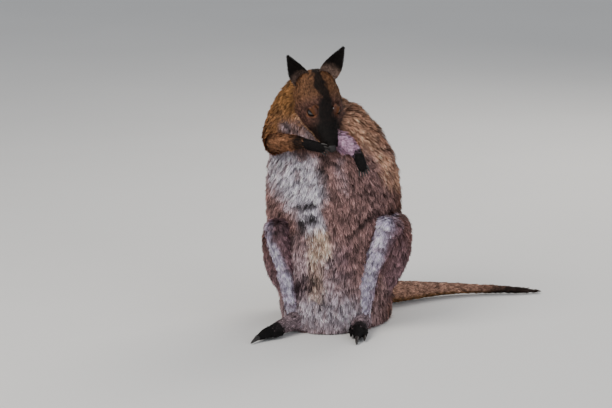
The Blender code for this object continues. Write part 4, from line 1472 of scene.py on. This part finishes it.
@dataclass
class Claw:
    """A curved claw that tapers to a point."""

    root: Array
    way: Array
    length: float
    half: float
    sides: int = 12
    rings: int = 14

    def arrays(self) -> tuple[Array, Array, Array]:
        """Rings along a line that droops by 0.22 of the length, 1.15 times as tall as wide."""
        share = np.linspace(-0.25, 1.0, self.rings)
        width = self.half * np.sqrt(np.clip(1.02 - np.clip(share, 0, 1) ** 1.5, 0.02, 1.0))
        droop = 0.22 * np.maximum(share, 0.0) ** 2
        middle = self.root + self.way * (self.length * share)[:, None] - UP * (self.length * droop)[:, None]
        side = unit(np.cross(self.way, UP))
        top = unit(np.cross(side, self.way))
        turn = np.arange(self.sides) / self.sides * 2 * math.pi
        ring = np.cos(turn)[:, None] * side + 1.15 * np.sin(turn)[:, None] * top
        points = middle[:, None] + width[:, None, None] * ring[None]
        ends = np.stack([middle[0], middle[-1] + unit(middle[-1] - middle[-2]) * self.half * 0.15])
        quads, caps = tube_faces(self.rings, self.sides)
        return np.concatenate([points.reshape(-1, 3), ends]), quads[:, ::-1], caps[:, ::-1]


@dataclass
class Claws:
    """Five claws on each forepaw, and one on each big toe and side toe."""

    fan: float = 0.0095
    fore_length: float = 0.012
    fore_half: float = 0.0019

    def fore(self, side: str, across: tuple[float, float, float]) -> list[Claw]:
        """A fan of five claws at the end of a forepaw."""
        rows = np.asarray(STATIONS[f"paw_{side}"])
        end, before = rows[-1], rows[-2]
        way = unit(end[:3] - before[:3])
        side_way = unit(np.asarray(across) - np.dot(across, way) * way)
        made = []
        for share in np.linspace(-1.0, 1.0, 5):
            root = end[:3] + side_way * share * self.fan + way * end[3] * (0.75 - 0.35 * share**2)
            turned = unit(way + side_way * share * 0.35)
            made.append(Claw(root - turned * 0.004, turned, self.fore_length, self.fore_half))
        return made

    def hind(self, side: str) -> list[Claw]:
        """The strong claw of the big toe and the smaller one of the side toe."""
        made = []
        for kind, length, half in (("toe", 0.024, 0.0042), ("side_toe", 0.016, 0.0030)):
            rows = np.asarray(STATIONS[f"{kind}_{side}"])
            end, before = rows[-1], rows[-2]
            way = unit((end[:3] - before[:3]) * np.array((1.0, 1.0, 0.35)))
            made.append(Claw(end[:3] + way * end[3] * 0.1, way, length, half))
        return made

    def build(self) -> None:
        """Joins the claws of each paw and foot into one piece."""
        groups: dict[str, tuple[list[Claw], list[str]]] = {}
        for side, across in (("right", (0.25, -0.35, 0.90)), ("left", (0.90, -0.30, 0.25))):
            fore_nodes = [f"claw_{side}_{number}" for number in range(1, 6)]
            hind_nodes = [f"claw_toe_{side}", f"claw_side_toe_{side}"]
            groups[f"claws_fore_{side}"] = (self.fore(side, across), fore_nodes)
            groups[f"claws_hind_{side}"] = (self.hind(side), hind_nodes)
        material = Horn().material()
        for name, (claws, nodes) in groups.items():
            points, quads, caps, size = [], [], [], 0
            for claw in claws:
                spots, sides, ends = claw.arrays()
                points.append(spots)
                quads.append(sides + size)
                caps.append(ends + size)
                size += len(spots)
            faces = Faces.of(np.concatenate(quads), np.concatenate(caps))
            piece = make_mesh(name, np.concatenate(points), faces)
            piece.data.materials.append(material)
            place_piece(piece, nodes)


# ---------------------------------------------------------------- the bake's map
@dataclass
class Tiles:
    """A square shared out among parts: each part has an oblong of its own, of about its share of the area."""

    names: Sequence[str]
    areas: Sequence[float]
    margin: float = 0.05
    boxes: dict[str, tuple[float, float, float, float]] = field(default_factory=dict)

    def __post_init__(self) -> None:
        """Splits the square again and again into two oblongs of about equal load."""
        self.split(list(range(len(self.names))), (0.004, 0.004, 0.996, 0.996))

    def split(self, group: list[int], box: tuple[float, float, float, float]) -> None:
        """Halves a group of parts and the box along its longer side."""
        if len(group) == 1:
            self.boxes[self.names[group[0]]] = box
            return
        group = sorted(group, key=lambda number: -self.areas[number])
        load = np.cumsum([self.areas[number] for number in group])
        cut = min(max(int(np.searchsorted(load, load[-1] / 2)) + 1, 1), len(group) - 1)
        share = float(np.clip(load[cut - 1] / load[-1], 0.15, 0.85))
        x0, y0, x1, y1 = box
        if x1 - x0 > y1 - y0:
            middle = x0 + (x1 - x0) * share
            pair = ((x0, y0, middle, y1), (middle, y0, x1, y1))
        else:
            middle = y0 + (y1 - y0) * share
            pair = ((x0, y0, x1, middle), (x0, middle, x1, y1))
        self.split(group[:cut], pair[0])
        self.split(group[cut:], pair[1])

    def places(self, name: str, share: Array, turn: Array) -> Array:
        """Places on the square for a share along the part and a turn around it."""
        x0, y0, x1, y1 = self.boxes[name]
        u = self.margin + (1 - 2 * self.margin) * np.clip((share + 0.12) / 1.24, -0.02, 1.02)
        v = self.margin + (1 - 2 * self.margin) * np.clip((turn + math.pi) / (2 * math.pi), -0.03, 1.03)
        return np.stack([x0 + (x1 - x0) * u, y0 + (y1 - y0) * v], axis=-1)


# ---------------------------------------------------------------- the coat
@dataclass
class CoatPiece:
    """One mesh of the coat: the parts it covers, how many tufts it has and the CAD nodes it stands for."""

    name: str
    slot: Slot
    kinds: tuple[str, ...]
    tufts: int
    keep: Callable[[Array], Array]
    nodes: tuple[str, ...]


@dataclass
class Coat:
    """Tufts over the hide: thin ribbons that rise from their roots, lie along the coat and end in points."""

    hide: Hide
    growth: Array
    eyes: Sequence[EyeBall]
    nose: Nose
    seed: int = 11
    stations: tuple[float, ...] = (0.0, 0.42, 0.76, 1.0)
    shape: tuple[float, ...] = (0.75, 1.0, 0.62, 0.0)
    bow: float = 0.45
    draw: float = 1.3
    sink: float = 0.0008
    seen: float = 0.42
    patch: float = 0.0014

    def roots(self, piece: CoatPiece, rng: np.random.Generator) -> tuple[Hide, Array]:
        """Roots spread over the piece's faces, more of them where the hair is short and narrow."""
        hide = self.hide
        kinds = np.array([pelt_of(name) in piece.kinds for name in hide.names])
        middle = hide.points[hide.quads].mean(axis=1)
        chosen = np.flatnonzero(kinds[hide.part[hide.quads[:, 0]]] & piece.keep(middle))
        quads = hide.quads[chosen]
        corners = hide.points[quads]
        crossed = np.cross(corners[:, 2] - corners[:, 0], corners[:, 3] - corners[:, 1])
        area = np.linalg.norm(crossed, axis=1) / 2
        first = self.growth[quads[:, 0]]
        load = area / (first[:, 0] * first[:, 2]) ** 0.75
        edges = np.cumsum(load) / load.sum()
        at = (np.arange(piece.tufts) + rng.random(piece.tufts)) / piece.tufts
        face = np.minimum(np.searchsorted(edges, at), len(quads) - 1)
        a, b = rng.random((2, piece.tufts))
        weights = np.stack([(1 - a) * (1 - b), a * (1 - b), a * b, (1 - a) * b], axis=1)
        quads = quads[face]

        def mixed(values: Array) -> Array:
            return np.einsum("nk,nkj->nj", weights, values[quads])

        first = quads[:, 0]
        turn = np.angle(np.sum(weights * np.exp(1j * hide.turn[quads]), axis=1))
        on_ear = np.array([pelt_of(name) == "ear" for name in hide.names])[hide.part[first]]
        turn = np.where(on_ear, hide.turn[first], turn)
        made = Hide(
            hide.names,
            mixed(hide.points),
            quads,
            unit(mixed(hide.normals)),
            unit(mixed(hide.lie)),
            hide.part[first],
            np.sum(weights * hide.share[quads], axis=1),
            turn,
        )
        return made, mixed(self.growth)

    def locks(self, points: Array, size: Array) -> tuple[Array, Array]:
        """Each root's lock: the nearest seed of a lattice of this size, each seed moved about in its cell."""
        cell = np.floor(points / size[:, None]).astype(np.int64)
        best = np.full(len(points), 1e9)
        middle = np.zeros_like(points)
        chance = np.zeros((len(points), 4))
        for code in range(27):
            key = cell + np.array((code % 3 - 1, code // 3 % 3 - 1, code // 9 - 1))
            mixed = (key[:, 0] * 73856093) ^ (key[:, 1] * 19349663) ^ (key[:, 2] * 83492791)
            throws = []
            for turn in range(7):
                mixed = ((mixed ^ (mixed >> 15)) * 2246822519 + turn * 3266489917) & 0xFFFFFFFF
                throws.append(((mixed ^ (mixed >> 13)) & 0xFFFF) / 65536.0)
            throw = np.stack(throws, axis=1)
            spot = (key + throw[:, :3]) * size[:, None]
            gap = np.linalg.norm(points - spot, axis=1)
            nearer = gap < best
            best = np.where(nearer, gap, best)
            middle[nearer] = spot[nearer]
            chance[nearer] = throw[nearer, 3:]
        return middle, chance

    def grow(self, piece: CoatPiece, tiles: Tiles, markings: Markings) -> bpy.types.Object:
        """The piece's mesh.

        A tuft of length L and lift a runs from its root by L t cos a along the lie and L sin a (t - bow t^2)
        out of the skin, and is drawn toward its lock's middle by the gather times t to the draw.
        """
        rng = np.random.default_rng(self.seed + sum(map(ord, piece.name)))
        hide, growth = self.roots(piece, rng)
        count = len(hide.points)
        length, lift, width, lock, gather = growth.T
        sizes = np.array([PELTS[pelt_of(name)].lock for name in hide.names])[hide.part]
        middle, chance = self.locks(hide.points, sizes)
        normal, lie = hide.normals, hide.lie
        across = np.cross(lie, normal)
        swirl = lattice_noise(hide.points, 0.045, 21) * 0.30
        yaw = swirl + (chance[:, 0] - 0.5) * 0.55 + rng.normal(0.0, 0.12, count)
        lie = lie * np.cos(yaw)[:, None] + across * np.sin(yaw)[:, None]
        rise = np.radians(lift) * (0.62 + 0.62 * chance[:, 1] + rng.normal(0.0, 0.10, count))
        size = length * (0.74 + 0.34 * chance[:, 2] + rng.normal(0.0, 0.09, count))
        pull = middle - hide.points
        pull -= np.sum(pull * normal, axis=1, keepdims=True) * normal
        wave = rng.normal(0.0, 0.05, (count, 2)) * size[:, None]
        across = unit(np.cross(lie, normal))
        roll = rng.normal(0.0, 0.55, count)
        flat = across * np.cos(roll)[:, None] + normal * np.sin(roll)[:, None]
        points, colours = [], []
        shown = hide.points + lie * size[:, None] * self.seen
        ground = markings.colours(replace(hide, points=shown))
        tone = (0.44 + 1.08 * chance[:, 3] + rng.normal(0.0, 0.20, count)).clip(0.30, 2.0)
        pale = rng.random(count)
        tip = np.where(pale > 0.74, 2.5, np.where(pale < 0.30, 0.24, 1.15))
        # Multipliers at the four stations, root to tip: the root's 0.30 is partly the fur's dark undercolour and
        # partly painted shade deep in the coat, which also darkens the partings between locks; the tips carry
        # random pale and dark ticking.
        tints_and_root_shade = np.stack([0.30 * tone, 0.74 * tone, (0.62 + 0.46 * tip) * tone, tip * tone], axis=1)
        for t, half, number in zip(self.stations, self.shape, range(4)):
            spot = hide.points + lie * (size * t * np.cos(rise))[:, None]
            spot += normal * (size * np.sin(rise) * (t - self.bow * t * t) - self.sink)[:, None]
            spot += pull * (gather * t**self.draw)[:, None]
            spot += across * (wave[:, 0] * math.sin(t * 3.1) + wave[:, 1] * t * t)[:, None]
            sides = (-1.0, 1.0) if half > 0 else (0.0,)
            for sign in sides:
                points.append(spot + flat * (sign * half * width / 2)[:, None])
                colours.append(ground * tints_and_root_shade[:, number : number + 1])
        spots = np.stack(points, axis=1)
        tint = np.stack(colours, axis=1)
        bad = self.strays(spots)
        spots, tint, normal, lie = spots[~bad], tint[~bad], normal[~bad], lie[~bad]
        spots[..., 2] = np.maximum(spots[..., 2], 0.0012 + 0.0010 * rng.random((len(spots), 1)))
        base = np.arange(len(spots))[:, None] * 7
        quads = np.concatenate([base + np.array((0, 1, 3, 2)), base + np.array((2, 3, 5, 4))])
        faces = Faces.of(quads, base + np.array((4, 5, 6)))
        made = make_mesh(piece.name, spots.reshape(-1, 3), faces)
        colour_points(made, "coat", tint.clip(0.0, 1.0).reshape(-1, 3))
        places = self.patches(hide, tiles)[~bad]
        ring = np.array([(-1, -1), (1, -1), (-1, -0.2), (1, -0.2), (-1, 0.6), (1, 0.6), (0, 1)]) * self.patch
        corner = places[faces.corners // 7] + ring[faces.corners % 7]
        map_corners(made, corner)
        ribbon = unit(np.cross(spots[:, 3] - spots[:, 2], spots[:, 4] - spots[:, 2]))
        ribbon *= np.sign(np.sum(ribbon * normal, axis=1, keepdims=True) + 1e-9)
        soft = unit(normal + ribbon * 0.55 + lie * 0.10)
        made.data.normals_split_custom_set_from_vertices(np.repeat(soft, 7, axis=0).tolist())
        return made

    def patches(self, hide: Hide, tiles: Tiles) -> Array:
        """Each root's place on the bake's map."""
        places = np.zeros((len(hide.points), 2))
        for number, name in enumerate(hide.names):
            here = hide.part == number
            if here.any() and name in tiles.boxes:
                turn = hide.turn[here]
                if "ear" in name:
                    turn = (turn - 0.5) * 4.0
                places[here] = tiles.places(name, hide.share[here], turn)
        return places

    def strays(self, spots: Array) -> Array:
        """Tufts that would cross an eye or the nose."""
        bad = np.zeros(len(spots), bool)
        for eye in self.eyes:
            offset = spots - eye.centre
            gap = np.linalg.norm(offset, axis=-1)
            ahead = offset @ eye.look
            along, up = eye.frame
            near = ((offset @ along) / 0.0094) ** 2 + ((offset @ up) / 0.0050) ** 2 < 1.0
            bad |= np.any((gap < eye.radius * 1.05) & (ahead > 0) | near & (ahead > 0) & (gap < 0.02), axis=1)
        return bad | np.any(self.nose.holds(spots), axis=1)


# ---------------------------------------------------------------- the body under the coat
@dataclass
class Body:
    """The skin with its ears and lids, and the coat over it."""

    eyes: tuple[EyeBall, EyeBall] = (EyeBall("right"), EyeBall("left"))
    skin: Skin = field(default_factory=Skin)
    markings: Markings = field(default_factory=Markings)

    def build(self) -> None:
        """Makes the skin piece, and the hide and the pelt sizes that the coat's pieces are grown from."""
        skin = self.skin
        skin.build()
        names = [limb.name for limb in skin.limbs]
        trunk = Hide(names, skin.points, skin.quads, skin.normals, skin.lie, skin.limb, skin.share, skin.turn)
        ears = [ear.hide() for ear in EARS]
        lids = [Lids(eye).hide() for eye in self.eyes]
        haired = [self.outside(lid) for lid in lids]
        self.hide = Hide.joined([trunk, *ears, *haired])
        down = [np.tile(self.numbers("ear"), (len(lid.points), 1)) for lid in haired]
        self.growth = np.concatenate([self.blended(), *[self.short(ear) for ear in ears], *down])
        self.make_skin(Hide.joined([trunk, *ears, *lids]))

    def blended(self) -> Array:
        """The pelt's sizes at each point of the skin, blended where limbs meet."""
        table = np.array([self.numbers(limb.name) for limb in self.skin.limbs])
        grown = self.skin.weights @ table
        along, side, up = HEAD.local(self.skin.points)
        on_head = pelt_mask([limb.name for limb in self.skin.limbs], "head")[self.skin.limb]
        muzzle = smoothstep(0.05, 0.13, along) * on_head
        grown[:, 0] *= 1.0 - 0.45 * muzzle
        grown[:, 2] *= 1.0 - 0.25 * muzzle
        return grown

    @staticmethod
    def numbers(name: str) -> tuple[float, float, float, float, float]:
        """A part's pelt as numbers."""
        pelt = PELTS[pelt_of(name)]
        return pelt.length, pelt.lift, pelt.width, pelt.lock, pelt.gather

    @staticmethod
    def outside(lid: Hide) -> Hide:
        """A lid's outer face without its bare rim."""
        first = lid.share[lid.quads].min(axis=1)
        last = lid.share[lid.quads].max(axis=1)
        return replace(lid, quads=lid.quads[(first > 0.08) & (last < 0.47)])

    def short(self, ear: Hide) -> Array:
        """The ear's pelt, shorter toward its tip."""
        grown = np.tile(self.numbers("ear"), (len(ear.points), 1))
        grown[:, 0] *= 1.35 - 0.5 * np.clip(ear.share, 0.0, 1.0)
        return grown

    def make_skin(self, hide: Hide) -> None:
        """The skin's mesh, its colours and its map."""
        piece = make_mesh("skin", hide.points, Faces.of(hide.quads))
        lids = np.array(["lid" in name for name in hide.names])[hide.part]
        colours = self.markings.colours(hide) * 0.62
        rim = smoothstep(0.03, 0.10, np.minimum(hide.share, 1.0 - hide.share))[:, None]
        patch = smoothstep(0.15, 0.45, hide.share)[:, None]
        lid = Tone.EYE_PATCH.linear * 0.55 * (1 - patch) + Tone.FACE.linear * 0.8 * patch
        colours[lids] = (Tone.BLACK.linear * (1 - rim) + lid * rim)[lids]
        colour_points(piece, "hide", colours)
        map_corners(piece, self.unwrap(hide))
        piece.data.materials.append(Fur("hide", "hide", 0.8, 0.25, 700.0, 0.35).material())
        flesh = [name for name in frame_nodes() if not name.startswith(("eye_", "claw_", "nose"))]
        place_piece(piece, flesh)

    def unwrap(self, hide: Hide) -> Array:
        """Each face corner's place, all corners of a face measured on the face's own part."""
        owner = hide.part[hide.quads[:, 0]]
        tiles = Tiles(hide.names, [max(int((owner == n).sum()), 40) for n in range(len(hide.names))])
        share = hide.share[hide.quads]
        turn = hide.turn[hide.quads]
        for number, limb in enumerate(self.skin.limbs):
            here = owner == number
            share[here] = self.skin.shares[hide.quads[here], number]
            turn[here] = self.skin.turns[hide.quads[here], number]
        wraps = (turn.max(axis=1) - turn.min(axis=1) > math.pi)[:, None] & (turn < 0)
        turn = np.where(wraps, turn + 2 * math.pi, turn)
        places = np.zeros((*share.shape, 2))
        for number, name in enumerate(hide.names):
            here = owner == number
            ours = (turn[here] - 0.5) * 4.0 if name.startswith("ear") else turn[here]
            places[here] = tiles.places(name, share[here], ours)
        return places.reshape(-1, 2)


def pelt_mask(names: Sequence[str], kind: str) -> Array:
    """One for each name that wears this pelt, else zero."""
    return np.array([float(pelt_of(name) == kind) for name in names])


def frame_nodes() -> list[str]:
    """The names of the frame's nodes."""
    return sorted(FRAME["nodes"])


def everywhere(points: Array) -> Array:
    """True for every point."""
    return np.ones(len(points), bool)


def pair(part: str) -> tuple[str, str]:
    """The nodes of a part on both sides."""
    return f"{part}_right", f"{part}_left"


BELLY_TOP = 0.19
TAIL_NODES = ("tail_1", "tail_2", "tail_3", "tail_tip")


def coat_pieces() -> list[CoatPiece]:
    """The coat's pieces and how many tufts each has."""

    def ahead(points: Array) -> Array:
        return (points - np.array((-0.02, 0.0, 0.0))) @ FACING > 0.0

    def high(points: Array) -> Array:
        return ahead(points) & (points[:, 2] > BELLY_TOP)

    def low(points: Array) -> Array:
        return ahead(points) & (points[:, 2] <= BELLY_TOP)

    return [
        CoatPiece("coat_face", Slot.FACE, ("head",), 30000, everywhere, ("head", "jaw")),
        CoatPiece("coat_ears", Slot.EAR, ("ear",), 9000, everywhere, pair("ear")),
        CoatPiece("coat_neck", Slot.NECK, ("neck",), 12000, everywhere, ("neck",)),
        CoatPiece("coat_arms", Slot.ARM, ("upper_arm", "forearm"), 20000, everywhere, pair("forearm")),
        CoatPiece("coat_chest", Slot.CHEST, ("trunk",), 30000, high, ("chest",)),
        CoatPiece("coat_belly", Slot.BELLY, ("trunk",), 22000, low, ("belly",)),
        CoatPiece("coat_back", Slot.BACK, ("trunk",), 36000, lambda p: ~ahead(p), ("rump",)),
        CoatPiece("coat_thighs", Slot.BACK, ("thigh",), 30000, everywhere, pair("thigh")),
        CoatPiece("coat_shins", Slot.SHIN, ("shin",), 20000, everywhere, pair("shin")),
        CoatPiece("coat_feet", Slot.FOOT, ("foot", "toe"), 16000, everywhere, pair("foot")),
        CoatPiece("coat_paws", Slot.PAW, ("paw",), 6000, everywhere, pair("paw")),
        CoatPiece("coat_tail", Slot.TAIL, ("tail",), 24000, everywhere, TAIL_NODES),
    ]


@dataclass
class Studio:
    """A pale floor, soft light and the camera."""

    floor_half: float = 12.0
    target: tuple[float, float, float] = (-0.05856264, 0.0, 0.23329032)
    distance: float = 5.0
    elevation: float = math.radians(12.0)
    lens: float = 147.06

    def build(self) -> None:
        """Places the floor, the world's light, the lamps and the camera."""
        half = self.floor_half
        corners = np.array([(-half, -half, 0.0), (half, -half, 0.0), (half, half, 0.0), (-half, half, 0.0)])
        floor = make_mesh("studio_floor", corners, Faces.of(np.array([[0, 1, 2, 3]])), smooth=False)
        floor.data.materials.append(PaleFloor().material())
        world = bpy.data.worlds.new("studio")
        world.use_nodes = True
        world.node_tree.nodes["Background"].inputs["Color"].default_value = (0.80, 0.83, 0.88, 1.0)
        world.node_tree.nodes["Background"].inputs["Strength"].default_value = 0.55
        bpy.context.scene.world = world
        self.lamp("key", (-1.6, -1.4, 2.4), 1.6, 60.0, (1.0, 0.96, 0.90))
        self.lamp("fill", (1.8, -1.8, 1.2), 2.0, 16.0, (0.90, 0.94, 1.0))
        self.lamp("rim", (1.2, 1.8, 1.9), 1.4, 34.0, (1.0, 0.95, 0.88))
        self.camera()

    def lamp(self, name: str, place: Triple, size: float, power: float, colour: Triple) -> None:
        """A square soft lamp that faces the animal."""
        light = bpy.data.lights.new(name, "AREA")
        light.size = size
        light.energy = power
        light.color = colour
        lamp = bpy.data.objects.new(name, light)
        lamp.location = place
        lamp.rotation_euler = self.facing(np.asarray(place))
        bpy.context.scene.collection.objects.link(lamp)

    def facing(self, place: Array) -> Any:
        """The turn that points an object's -Z at the target."""
        way = bpy.data.objects.new("way", None).location
        way[:] = np.asarray(self.target) - place
        return way.to_track_quat("-Z", "Y").to_euler()

    def camera(self) -> None:
        """The camera, level with its up at the top of the picture."""
        back = np.array((0.0, -math.cos(self.elevation), math.sin(self.elevation)))
        data = bpy.data.cameras.new("camera")
        data.lens = self.lens
        data.sensor_width = 36.0
        data.clip_start, data.clip_end = 0.1, 50.0
        camera = bpy.data.objects.new("camera", data)
        camera.location = np.asarray(self.target) + back * self.distance
        camera.rotation_euler = (math.pi / 2 - self.elevation, 0.0, 0.0)
        bpy.context.scene.collection.objects.link(camera)
        bpy.context.scene.camera = camera
        bpy.context.scene.render.resolution_x = 612
        bpy.context.scene.render.resolution_y = 408


FRAME: dict[str, Any] = {}


def main() -> None:
    """Builds the wallaby in order: body, eyes, nose, claws, coat and studio."""
    logging.basicConfig(level=logging.INFO, format="%(message)s")
    FRAME.update(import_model())
    body = Body()
    body.build()
    for eye in body.eyes:
        eye.build()
    nose = Nose()
    nose.build()
    Claws().build()
    coat = Coat(body.hide, body.growth, body.eyes, nose)
    for plan in coat_pieces():
        names = [name for name in body.hide.names if pelt_of(name) in plan.kinds]
        tiles = Tiles(names, [1.0 + 9.0 * ("toe" not in name) for name in names])
        piece = coat.grow(plan, tiles, body.markings)
        piece.data.materials.append(Fur(plan.name, "coat").material())
        place_piece(piece, plan.nodes)
    Studio().build()


if __name__ == "__main__":
    main()
